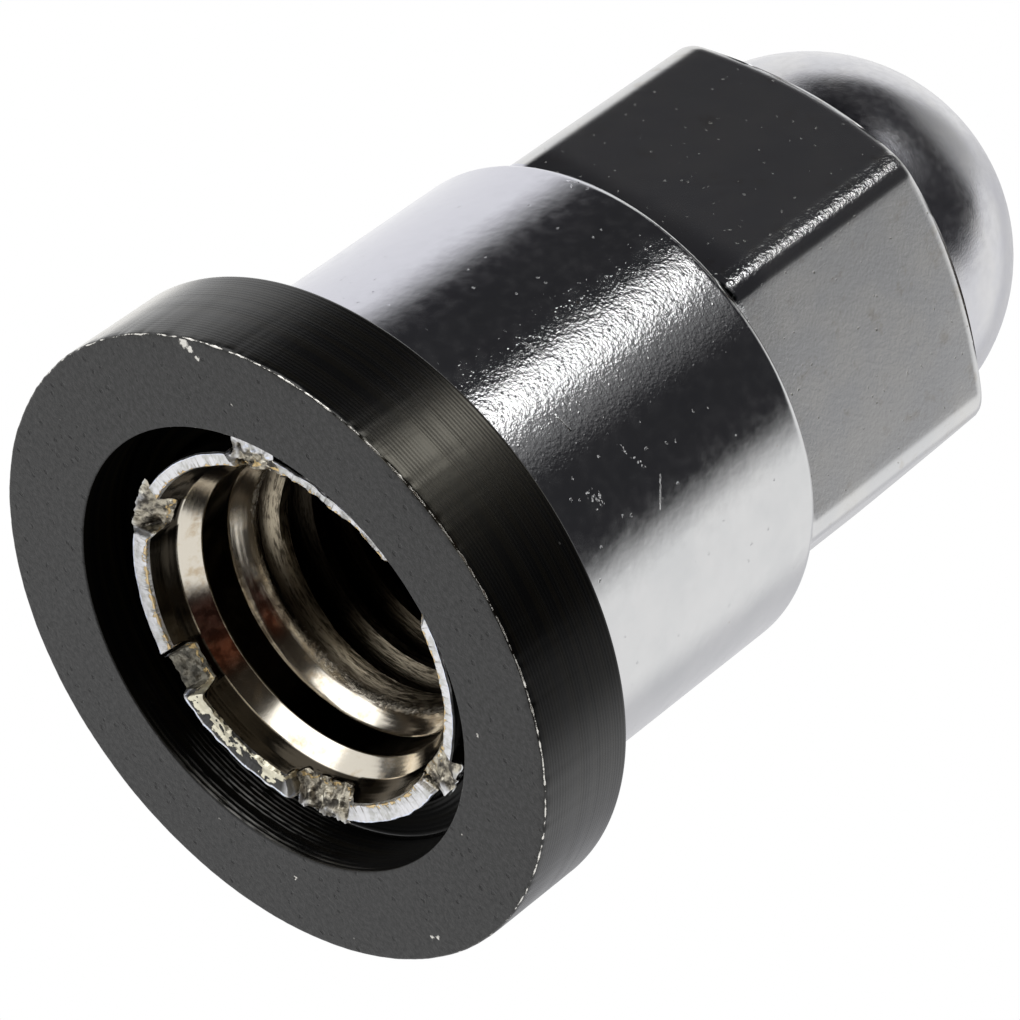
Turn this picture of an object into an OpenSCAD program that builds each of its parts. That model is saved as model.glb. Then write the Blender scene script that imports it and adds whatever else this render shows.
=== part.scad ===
// Wheel nut with a captive seat washer, standing on the washer's face.
// Origin: centre of the washer's face. +Z: towards the closed dome.

/* [Washer] */
// Outside diameter of the captive washer
washer_d = 30; // [27:0.5:38]
// Thickness of the washer, from its seat face to the nut's shoulder
washer_t = 5.25; // [4.6:0.05:8]
// Diameter of the recess turned into the washer's seat face
recess_d = 21.3; // [20.8:0.1:24]
// Depth of that recess, below the seat face
recess_depth = 2.95; // [2.6:0.05:3.6]
// Width of the broken edges on the washer
washer_edge = 0.2; // [0.1:0.05:0.5]

/* [Barrel] */
// Diameter of the round barrel
barrel_d = 24.3; // [23:0.1:26]
// Length of the barrel, above the washer
barrel_l = 16.6; // [10:0.1:30]
// Radius of the rounded rim at the barrel's far end
barrel_rim_r = 0.6; // [0.2:0.05:1]
// Width of the chamfer where the barrel meets the washer
barrel_foot = 0.5; // [0.2:0.05:1]

/* [Hexagon] */
// Width across the flats
hex_af = 21; // [19:0.5:22]
// Length of the hexagon, from the barrel to the dome's foot
hex_l = 13.2; // [8:0.1:20]
// Radius of the six rounded corners
hex_corner_r = 1.4; // [0.4:0.1:2.5]
// Slope of the chamfer that tops the corners, from the end face
hex_chamfer = 30; // [15:1:45]

/* [Dome] */
// Diameter of the closed dome
dome_d = 18.7; // [15:0.1:18.9]
// Straight stretch between the hexagon and the round of the dome
dome_neck = 1.8; // [0.5:0.1:5]

/* [Shank] */
// Outside diameter of the shank that passes through the washer
shank_d = 17.6; // [17:0.1:18.6]
// Radial gap between the shank and the washer's hole
shank_gap = 0.3; // [0.1:0.05:0.5]
// Depth of the shank's end below the washer's seat face
lip_inset = 1.25; // [0.8:0.05:1.5]
// How far the shank's rim is spread outwards
lip_flare = 0.12; // [0:0.02:0.2]
// Length of the spread part of the rim
flare_l = 0.8; // [0.3:0.05:0.8]
// Width of the flat ring at the shank's end
lip_w = 0.78; // [0.5:0.02:1]
// How far the mouth narrows inside the rim, on each side
mouth_taper = 0.5; // [0.2:0.05:0.6]
// Length of that narrowing mouth
mouth_l = 1.45; // [1:0.05:2]

/* [Stakes] */
// Number of punched stakes that hold the washer on
stake_n = 6; // [3:1:9]
// Turn of the first stake from a corner of the hexagon
stake_turn = 13; // [0:1:60]
// Angle that one stake takes up on the rim
stake_angle = 17; // [8:1:24]
// How far a stake stands out past the shank
stake_reach = 1.0; // [0.7:0.05:1.2]
// Gap along the axis between a stake and the bottom of the recess
stake_play = 0.15; // [0.05:0.05:0.25]
// Depth of the punch mark in the rim
punch_depth = 0.5; // [0.2:0.05:0.8]
// Radius of the punch's nose
punch_r = 1.3; // [0.9:0.1:2]

/* [Thread] */
// Size of the thread, over the stud's crests
thread_d = 14; // [12:0.5:14]
// Pitch of the thread
thread_pitch = 2; // [1.25:0.25:2]
// Length of the tapped hole, from its countersink
thread_l = 25; // [12:0.5:26]
// Diameter of the plain bore ahead of the thread
relief_d = 14.2; // [14.1:0.05:14.8]
// Length of that plain bore
relief_l = 1.6; // [1:0.1:3]
// Slope of the countersinks from the axis
sink_angle = 30; // [20:1:45]
// Full angle of the drill point at the hole's end
drill_point = 118; // [90:1:140]

/* [Hidden] */
$fn = 96;

// Overlap of a cutter past the face that it opens
cut = 1;
// Overlap that fuses two shapes of one solid
weld = 0.3;
// Share of the pitch between the stud's crest and the nut's crest, both sides
thread_share = 1.0825;
// Sides of the hexagon
hex_sides = 6;

shoulder_z = washer_t;
rim_z = shoulder_z + barrel_l;
hex_top_z = rim_z + hex_l;
dome_z = hex_top_z + dome_neck;

shank_r = shank_d / 2;
lip_r = shank_r + lip_flare;
lip_bore_r = lip_r - lip_w;
washer_hole_r = shank_r + shank_gap;
stake_r = shank_r + stake_reach;
stake_base_z = recess_depth - stake_play;

minor_r = (thread_d - thread_share * thread_pitch) / 2;
relief_r = relief_d / 2;
// The mouth narrows to sink_r, and a countersink leads from there to the plain bore
sink_r = lip_bore_r - mouth_taper;
sink_z = lip_inset + mouth_l;
relief_z = sink_z + (sink_r - relief_r) / tan(sink_angle);
thread_sink_z = relief_z + relief_l;
thread_z = thread_sink_z + (relief_r - minor_r) / tan(sink_angle);
thread_end_z = thread_sink_z + thread_l;
drill_tip_z = thread_end_z + minor_r / tan(drill_point / 2);

// Distance from the axis to the centre of each rounded corner
corner_at = (hex_af / 2 - hex_corner_r) / cos(180 / hex_sides);
corner_r = corner_at + hex_corner_r;

// Turned blank of the nut: barrel, rounded rim, hexagon's round envelope and dome
module blank() {
    union() {
        rotate_extrude()
            polygon([
                [0, shoulder_z],
                [barrel_d / 2 - barrel_foot, shoulder_z],
                [barrel_d / 2, shoulder_z + barrel_foot],
                [barrel_d / 2, rim_z - barrel_rim_r],
                [barrel_d / 2 - barrel_rim_r, rim_z - barrel_rim_r],
                [barrel_d / 2 - barrel_rim_r, rim_z],
                [0, rim_z]
            ]);
        translate([0, 0, rim_z - barrel_rim_r])
            rotate_extrude()
                translate([barrel_d / 2 - barrel_rim_r, 0])
                    circle(r = barrel_rim_r);
    }
}

// Six-sided drive with round corners, tapered at its far end by a turned chamfer
module hexagon() {
    intersection() {
        translate([0, 0, rim_z - weld])
            union() {
                linear_extrude(height = hex_l + weld)
                    polygon([
                        for (i = [0:hex_sides - 1], side = [-1, 1])
                            let (corner = i * 360 / hex_sides,
                                 flat = corner + side * 180 / hex_sides)
                            [corner_at * cos(corner) + hex_corner_r * cos(flat),
                             corner_at * sin(corner) + hex_corner_r * sin(flat)]
                    ]);
                for (i = [0:hex_sides - 1])
                    rotate([0, 0, i * 360 / hex_sides])
                        translate([corner_at, 0, 0])
                            cylinder(h = hex_l + weld, r = hex_corner_r);
            }
        rotate_extrude()
            polygon([
                [0, rim_z - cut],
                [corner_r + cut, rim_z - cut],
                [corner_r + cut, hex_top_z - (corner_r + cut - hex_af / 2) * tan(hex_chamfer)],
                [hex_af / 2, hex_top_z],
                [0, hex_top_z]
            ]);
    }
}

// Closed acorn end with its short straight neck
module dome() {
    translate([0, 0, hex_top_z - weld])
        cylinder(h = dome_neck + weld, d = dome_d);
    translate([0, 0, dome_z])
        sphere(d = dome_d);
}

// Thin tube that carries the washer, with its rim spread a little
module shank() {
    rotate_extrude()
        polygon([
            [0, lip_inset],
            [lip_r, lip_inset],
            [lip_r, lip_inset + lip_flare],
            [shank_r, lip_inset + flare_l],
            [shank_r, shoulder_z + weld],
            [0, shoulder_z + weld]
        ]);
}

// One lobe of the rim, pushed out over the bottom of the washer's recess
module stake() {
    rotate([0, 0, -stake_angle / 2])
        rotate_extrude(angle = stake_angle)
            polygon([
                [shank_r - lip_w / 2, stake_base_z],
                [stake_r - weld, stake_base_z],
                [stake_r, stake_base_z - weld],
                [lip_r + lip_flare, lip_inset + lip_flare],
                [shank_r - lip_w / 2, lip_inset + lip_flare]
            ]);
}

// Mark that the punch leaves across the rim
module punch_mark() {
    translate([shank_r - lip_w - cut, 0, lip_inset + punch_depth - punch_r])
        rotate([0, 90, 0])
            cylinder(h = lip_w + stake_reach + 2 * cut, r = punch_r);
}

// Flared mouth, plain bore, tapped hole at its crest radius and drill point
module stud_hole() {
    rotate_extrude()
        polygon([
            [0, lip_inset - cut],
            [lip_bore_r, lip_inset - cut],
            [lip_bore_r, lip_inset],
            [sink_r, sink_z],
            [relief_r, relief_z],
            [relief_r, thread_sink_z],
            [minor_r, thread_z],
            [minor_r, thread_end_z],
            [0, drill_tip_z]
        ]);
}

module nut_body() {
    color("gainsboro")
        difference() {
            union() {
                blank();
                hexagon();
                dome();
                shank();
                for (i = [0:stake_n - 1])
                    rotate([0, 0, stake_turn + i * 360 / stake_n])
                        stake();
            }
            stud_hole();
            for (i = [0:stake_n - 1])
                rotate([0, 0, stake_turn + i * 360 / stake_n])
                    punch_mark();
        }
}

// Thick ring, recessed on its seat face so that the stakes stay clear of the wheel
module captive_washer() {
    color("dimgray")
        rotate_extrude()
            polygon([
                [recess_d / 2 + washer_edge, 0],
                [washer_d / 2 - washer_edge, 0],
                [washer_d / 2, washer_edge],
                [washer_d / 2, washer_t - washer_edge],
                [washer_d / 2 - washer_edge, washer_t],
                [washer_hole_r, washer_t],
                [washer_hole_r, recess_depth],
                [recess_d / 2, recess_depth],
                [recess_d / 2, washer_edge]
            ]);
}

nut_body();
captive_washer();
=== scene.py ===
import logging
import math
from collections.abc import Callable, Mapping, Sequence
from dataclasses import dataclass
from enum import Enum

import bmesh
import bpy
from mathutils import Matrix, Vector, noise


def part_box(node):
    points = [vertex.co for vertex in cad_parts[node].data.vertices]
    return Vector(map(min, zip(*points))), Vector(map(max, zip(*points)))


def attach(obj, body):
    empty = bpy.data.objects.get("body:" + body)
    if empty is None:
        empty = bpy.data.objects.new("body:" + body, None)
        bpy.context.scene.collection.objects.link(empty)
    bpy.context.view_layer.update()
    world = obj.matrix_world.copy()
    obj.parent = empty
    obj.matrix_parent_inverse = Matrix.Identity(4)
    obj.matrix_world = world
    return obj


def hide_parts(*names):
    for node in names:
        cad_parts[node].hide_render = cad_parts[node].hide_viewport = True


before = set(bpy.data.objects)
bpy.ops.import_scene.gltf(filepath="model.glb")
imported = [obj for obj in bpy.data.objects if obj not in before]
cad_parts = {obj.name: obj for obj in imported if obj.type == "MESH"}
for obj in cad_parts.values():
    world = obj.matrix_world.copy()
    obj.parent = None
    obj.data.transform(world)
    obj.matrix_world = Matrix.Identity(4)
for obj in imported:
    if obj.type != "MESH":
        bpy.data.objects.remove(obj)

log = logging.getLogger("wheel_nut")

MM = 0.001
PER_METRE = 1000.0
FULL_TURN = 360.0
HALF_TURN = 180.0
HEX_TURN = 60.0
WELD = 1e-4
SLICES = 12
SHARP_ANGLE = 42.0
EDGE_LAYER = "edge"

Point = tuple[float, float]
Colour = tuple[float, float, float]
Socket = bpy.types.NodeSocket
Value = float | Sequence[float] | Socket
Values = Mapping[str | int, Value]


def smooth_step(low: float, high: float, value: float) -> float:
    """Eases from 0 at low to 1 at high.

    Args:
        low: where the ease starts.
        high: where it ends.
        value: the number to place between them.

    Returns:
        A share from 0 to 1.
    """
    share = min(1.0, max(0.0, (value - low) / (high - low)))
    return share * share * (3.0 - 2.0 * share)


def turn_between(first: float, second: float) -> float:
    """Returns the signed angle in degrees from the second azimuth to the first, from -180 to 180."""
    return (first - second + FULL_TURN + HALF_TURN) % FULL_TURN - HALF_TURN


def lump(x: float, y: float, z: float, size: float) -> float:
    """Smooth solid noise.

    Args:
        x: place in millimetres.
        y: place in millimetres.
        z: place in millimetres.
        size: size of one lump in millimetres.

    Returns:
        A height from about -1 to 1.
    """
    return noise.noise(Vector((x, y, z)) / size)


class Finish(Enum):
    """The finishes of this nut; a piece gets a material slot for each finish it uses, in the order its faces
    first use them.
    """

    BARREL = "chrome_barrel"
    HEXAGON = "chrome_hexagon"
    DOME = "chrome_dome"
    BORE = "nickel_bore"
    TORN = "torn_steel"
    FACE = "black_face"
    SIDE = "black_side"
    RECESS = "black_recess"


@dataclass(frozen=True)
class Row:
    """One ring of vertices on a turned form, in millimetres.

    Args:
        place: gives the radius and height of the ring at an azimuth in degrees.
        finish: what covers the band from this row to the next.
        edge: 1 on a worn edge or a bead's crown, -1 beside the bead and on the torn rim's outer
            edge, 0 elsewhere.
    """

    place: Callable[[float], Point]
    finish: Finish
    edge: float = 0.0


def level(r: float, z: float, finish: Finish, edge: float = 0.0) -> Row:
    """Returns a row that is a plain circle of radius r at height z."""
    return Row(lambda azimuth: (r, z), finish, edge)


@dataclass(frozen=True)
class Corner:
    """One corner of a turned outline, in millimetres, rounded where it has a radius."""

    r: float
    z: float
    radius: float = 0.0
    edge: float = 0.0
    finish: Finish = Finish.BARREL


def rounded(corners: Sequence[Corner], closed: bool, steps: int = 5, guard: float = 0.06) -> list[Row]:
    """Turns an outline's corners into rows, with an arc at each rounded corner.

    Args:
        corners: the outline in order.
        closed: whether the last corner joins the first.
        steps: bands in each arc.
        guard: distance of the rows that keep the flats beside an arc flat.

    Returns:
        The rows in order.
    """
    rows: list[Row] = []
    count = len(corners)
    for i, corner in enumerate(corners):
        here = Vector((corner.r, corner.z))
        if corner.radius <= 0.0 or (not closed and i in (0, count - 1)):
            rows.append(level(corner.r, corner.z, corner.finish, corner.edge))
            continue
        before, after = corners[i - 1], corners[(i + 1) % count]
        back = (Vector((before.r, before.z)) - here).normalized()
        ahead = (Vector((after.r, after.z)) - here).normalized()
        half = back.angle(ahead) / 2
        reach = corner.radius / math.tan(half)
        centre = here + (back + ahead).normalized() * (corner.radius / math.sin(half))
        start, end = here + back * reach - centre, here + ahead * reach - centre
        sweep = start.angle_signed(end)
        guard_before, guard_after = here + back * (reach + guard), here + ahead * (reach + guard)
        rows.append(level(guard_before.x, guard_before.y, before.finish))
        for k in range(steps + 1):
            spoke = start.copy()
            spoke.rotate(Matrix.Rotation(-sweep * k / steps, 2))
            wear = corner.edge * math.sin(math.pi * (k + 0.5) / (steps + 1))
            rows.append(level(centre.x + spoke.x, centre.y + spoke.y, corner.finish, wear))
        rows.append(level(guard_after.x, guard_after.y, corner.finish))
    return rows


class Lathe:
    """Turns rows about the Z axis into one closed mesh, in millimetres until it is finished."""

    def __init__(self, steps: int, spread: Callable[[float], float] | None = None) -> None:
        """Starts an empty form.

        Args:
            steps: columns in a full turn.
            spread: moves an evenly spaced azimuth to where its column belongs.
        """
        self.steps = steps
        self.spread = spread
        self.rows: list[Row] = []
        self.bm = bmesh.new()
        self.row_of = self.bm.verts.layers.int.new("row")
        self.edge_of = self.bm.verts.layers.float.new(EDGE_LAYER)

    def chain(self, points: Sequence[Point], first_row: int) -> list[bmesh.types.BMVert]:
        """Draws a line of vertices in the XZ plane.

        Args:
            points: radius and height of each vertex.
            first_row: number of the first one's row, or -1 for vertices that follow no row.

        Returns:
            The vertices in order.
        """
        verts = [self.bm.verts.new((r, 0.0, z)) for r, z in points]
        for k, vert in enumerate(verts):
            vert[self.row_of] = first_row + k if first_row >= 0 else -1
        for first, second in zip(verts, verts[1:]):
            self.bm.edges.new((first, second))
        return verts

    def spin(self, verts: Sequence[bmesh.types.BMVert], turns: float = 1.0, rise: float = 0.0) -> None:
        """Sweeps a line of vertices about the axis: one slice first, which is then repeated.

        Args:
            verts: the line.
            turns: number of turns.
            rise: climb of each whole turn.
        """
        edges = {edge for vert in verts for edge in vert.link_edges}
        before = set(self.bm.verts) - set(verts), set(self.bm.edges) - edges, set(self.bm.faces)
        bmesh.ops.spin(
            self.bm, geom=[*verts, *edges], cent=(0, 0, 0), axis=(0, 0, 1),
            dvec=(0, 0, rise / self.steps), angle=math.tau / SLICES, steps=self.steps // SLICES,
        )
        now = self.bm.verts, self.bm.edges, self.bm.faces
        part = [item for items, old in zip(now, before) for item in items if item not in old]
        copies = round(SLICES * turns) - 1
        bmesh.ops.spin(
            self.bm, geom=part, cent=(0, 0, 0), axis=(0, 0, 1), dvec=(0, 0, rise / SLICES),
            angle=math.tau * copies / SLICES, steps=copies, use_duplicate=True,
        )

    def turn(self, rows: Sequence[Row], closed: bool = False) -> None:
        """Adds a full turn of some rows.

        Args:
            rows: the rows in order.
            closed: whether the last row joins the first.
        """
        verts = self.chain([row.place(0.0) for row in rows], len(self.rows))
        if closed:
            self.bm.edges.new((verts[-1], verts[0]))
        self.rows.extend(rows)
        self.spin(verts)

    def thread(self, tooth: Sequence[Point], turns: float, pitch: float,
               shape: Callable[[float, float], Point]) -> None:
        """Adds a helical surface.

        Args:
            tooth: outline of one pitch at azimuth 0, from its low end to its high end.
            turns: number of turns.
            pitch: climb of each turn.
            shape: moves a point's radius and height to the finished surface.
        """
        before = set(self.bm.verts)
        self.spin(self.chain(tooth, -1), turns, pitch)
        for vert in self.bm.verts:
            if vert not in before:
                r, z = shape(math.hypot(vert.co.x, vert.co.y), vert.co.z)
                azimuth = math.atan2(vert.co.y, vert.co.x)
                vert.co = (r * math.cos(azimuth), r * math.sin(azimuth), z)

    def settle(self) -> None:
        """Welds the form, moves every vertex to its row's place and turns the faces outwards."""
        bmesh.ops.remove_doubles(self.bm, verts=self.bm.verts, dist=WELD)
        for vert in self.bm.verts:
            azimuth = math.degrees(math.atan2(vert.co.y, vert.co.x)) % FULL_TURN
            azimuth = self.spread(azimuth) if self.spread else azimuth
            number = vert[self.row_of]
            if number < 0:
                r, z = math.hypot(vert.co.x, vert.co.y), vert.co.z
            else:
                r, z = self.rows[number].place(azimuth)
                vert[self.edge_of] = self.rows[number].edge
            turned = math.radians(azimuth)
            vert.co = (r * math.cos(turned), r * math.sin(turned), z)
        bmesh.ops.recalc_face_normals(self.bm, faces=self.bm.faces)

    def finish_of(self, face: bmesh.types.BMFace) -> Finish:
        """Returns a face's finish: that of the lower of its two rows, or the bore's on the thread."""
        numbers = sorted({vert[self.row_of] for vert in face.verts})
        if numbers[-1] < 0:
            return Finish.BORE
        if numbers[0] >= 0 and numbers[-1] - numbers[0] > 1:
            return self.rows[numbers[-1]].finish
        return self.rows[max(numbers[0], 0)].finish

    def mesh(self, name: str, finishes: Mapping[Finish, bpy.types.Material]) -> bpy.types.Object:
        """Settles the form and makes the object, in metres and at the origin.

        Args:
            name: the piece's name.
            finishes: the material of each finish.

        Returns:
            The finished piece.
        """
        self.settle()
        used: list[Finish] = []
        for face in self.bm.faces:
            finish = self.finish_of(face)
            if finish not in used:
                used.append(finish)
            face.material_index = used.index(finish)
            face.smooth = True
        open_edges = sum(len(edge.link_faces) != 2 for edge in self.bm.edges)
        bmesh.ops.scale(self.bm, vec=(MM, MM, MM), verts=self.bm.verts)
        self.bm.verts.layers.int.remove(self.row_of)
        data = bpy.data.meshes.new(name)
        self.bm.to_mesh(data)
        self.bm.free()
        data.set_sharp_from_angle(angle=math.radians(SHARP_ANGLE))
        for finish in used:
            data.materials.append(finishes[finish])
        piece = bpy.data.objects.new(name, data)
        bpy.context.scene.collection.objects.link(piece)
        data.calc_loop_triangles()
        log.info("%s: %d triangles, %d open edges", name, len(data.loop_triangles), open_edges)
        return piece


class Graph:
    """Adds nodes to one node tree and joins them."""

    def __init__(self, tree: bpy.types.NodeTree) -> None:
        """Works on the given tree."""
        self.tree = tree

    def feed(self, socket: Socket, value: Value) -> None:
        """Links a socket to another, or sets its value."""
        if isinstance(value, bpy.types.NodeSocket):
            self.tree.links.new(value, socket)
        else:
            socket.default_value = value

    def add(self, kind: str, values: Values | None = None, **options: object) -> bpy.types.Node:
        """Adds one node.

        Args:
            kind: the node's type.
            values: what each named or numbered input takes.
            options: the node's own settings.

        Returns:
            The node.
        """
        node = self.tree.nodes.new(kind)
        for name, value in options.items():
            setattr(node, name, value)
        for key, value in (values or {}).items():
            self.feed(node.inputs[key], value)
        return node

    def math(self, operation: str, first: Value, second: Value = 0.0, third: Value = 0.0) -> Socket:
        """Returns the result of a Math node."""
        values = {0: first, 1: second, 2: third}
        return self.add("ShaderNodeMath", values, operation=operation).outputs[0]

    def times(self, first: Value, *others: Value) -> Socket:
        """Returns the product of some numbers."""
        for other in others:
            first = self.math("MULTIPLY", first, other)
        return first

    def plus(self, first: Value, *others: Value) -> Socket:
        """Returns the sum of some numbers."""
        for other in others:
            first = self.math("ADD", first, other)
        return first

    def minus(self, first: Value, second: Value) -> Socket:
        """Returns the first number less the second."""
        return self.math("SUBTRACT", first, second)

    def most(self, first: Value, second: Value) -> Socket:
        """Returns the larger of two numbers."""
        return self.math("MAXIMUM", first, second)

    def size_of(self, value: Value) -> Socket:
        """Returns a number without its sign."""
        return self.math("ABSOLUTE", value)

    def vector(self, operation: str, first: Value, second: Value = (0.0, 0.0, 0.0),
               scale: Value = 1.0) -> Socket:
        """Returns the result of a Vector Math node."""
        values = {0: first, 1: second, 3: scale}
        return self.add("ShaderNodeVectorMath", values, operation=operation).outputs[0]

    def ease(self, value: Value, low: Value, high: Value, start: Value = 0.0, end: Value = 1.0) -> Socket:
        """Returns the value eased from start, at low, to end, at high."""
        values = {"Value": value, "From Min": low, "From Max": high, "To Min": start, "To Max": end}
        return self.add("ShaderNodeMapRange", values, interpolation_type="SMOOTHSTEP").outputs[0]

    def blend(self, share: Value, first: Value, second: Value) -> Socket:
        """Returns a number between first and second."""
        values = {"Factor": share, "A": first, "B": second}
        return self.add("ShaderNodeMix", values, data_type="FLOAT").outputs[0]

    def tint(self, share: Value, first: Value, second: Value) -> Socket:
        """Returns a colour between first and second."""
        node = self.add("ShaderNodeMix", {0: share}, data_type="RGBA")
        for socket, value in ((node.inputs[6], first), (node.inputs[7], second)):
            self.feed(socket, value if isinstance(value, bpy.types.NodeSocket) else (*value, 1.0))
        return node.outputs[2]

    def noise(self, place: Value, size: Value, detail: float = 2.0, ragged: float = 0.5) -> Socket:
        """Returns solid noise from 0 to 1 whose lumps are about size millimetres wide."""
        scale = self.math("DIVIDE", 1.0, size) if isinstance(size, bpy.types.NodeSocket) else 1.0 / size
        values = {"Vector": place, "Scale": scale, "Detail": detail, "Roughness": ragged}
        return self.add("ShaderNodeTexNoise", values).outputs[0]

    def noise_along(self, value: Value, size: Value, detail: float = 3.0) -> Socket:
        """Returns noise from 0 to 1 that changes only with the given number."""
        share = self.math("DIVIDE", value, size)
        values = {"W": share, "Scale": 1.0, "Detail": detail, "Roughness": 0.6}
        return self.add("ShaderNodeTexNoise", values, noise_dimensions="1D").outputs[0]

    def shaken(self, place: Value, reach: float) -> Socket:
        """Returns a place moved by up to half the reach, so that round spots on it turn ragged."""
        node = self.add("ShaderNodeTexNoise", {"Vector": place, "Scale": 6.0, "Detail": 2.0})
        shift = self.vector("SUBTRACT", node.outputs["Color"], (0.5, 0.5, 0.5))
        return self.vector("ADD", place, self.vector("SCALE", shift, scale=reach))

    def split(self, vector: Value) -> tuple[Socket, Socket, Socket]:
        """Returns the three parts of a vector."""
        node = self.add("ShaderNodeSeparateXYZ", {0: vector})
        return node.outputs[0], node.outputs[1], node.outputs[2]

    def join(self, x: Value, y: Value, z: Value) -> Socket:
        """Returns the vector of three numbers."""
        return self.add("ShaderNodeCombineXYZ", {0: x, 1: y, 2: z}).outputs[0]

    def azimuth(self, x: Value, y: Value) -> Socket:
        """Returns the azimuth of a point in degrees, from 0 to 360, with its seam at 0."""
        behind = self.math("ARCTAN2", self.times(y, -1.0), self.times(x, -1.0))
        return self.plus(self.times(behind, HALF_TURN / math.pi), HALF_TURN)

    def group(self, tree: bpy.types.NodeTree, values: Mapping[str, Value]) -> bpy.types.Node:
        """Places a shared effect and feeds its inputs."""
        node = self.tree.nodes.new("ShaderNodeGroup")
        node.node_tree = tree
        for name, value in values.items():
            self.feed(node.inputs[name], value)
        return node

    def bump(self, height: Value, depth: float, normal: Value | None = None) -> Socket:
        """Returns a normal bent by a height map.

        Args:
            height: the map, from 0 to 1.
            depth: what a height of 1 means, in millimetres.
            normal: a normal that was bent before.

        Returns:
            The bent normal.
        """
        values: dict[str | int, Value] = {"Strength": 1.0, "Distance": depth * MM, "Height": height}
        if normal is not None:
            values["Normal"] = normal
        return self.add("ShaderNodeBump", values).outputs[0]

    def place(self) -> Socket:
        """Returns the place on the piece in millimetres."""
        place = self.add("ShaderNodeTexCoord").outputs["Object"]
        return self.vector("SCALE", place, scale=PER_METRE)

    def edge(self) -> Socket:
        """Returns the number that the mesh carries on its edges, as its rows say."""
        return self.add("ShaderNodeAttribute", attribute_name=EDGE_LAYER).outputs["Fac"]


class EffectGraph(Graph):
    """The graph of a shared effect, which is built once as a node group."""

    def __init__(self, name: str, inputs: Mapping[str, type], outputs: Mapping[str, type]) -> None:
        """Starts the group.

        Args:
            name: the group's name.
            inputs: its inputs, each a float or a tuple for a vector.
            outputs: its outputs in the same way.
        """
        super().__init__(bpy.data.node_groups.new(name, "ShaderNodeTree"))
        for sockets, way in ((inputs, "INPUT"), (outputs, "OUTPUT")):
            for socket, kind in sockets.items():
                socket_type = "NodeSocketFloat" if kind is float else "NodeSocketVector"
                self.tree.interface.new_socket(socket, in_out=way, socket_type=socket_type)
        self.given = tuple(self.add("NodeGroupInput").outputs)[:len(inputs)]
        self.made = self.add("NodeGroupOutput")

    def finish(self, *values: Value) -> bpy.types.NodeTree:
        """Feeds the outputs in their order and returns the group."""
        for socket, value in zip(self.made.inputs, values):
            self.feed(socket, value)
        return self.tree


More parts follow.
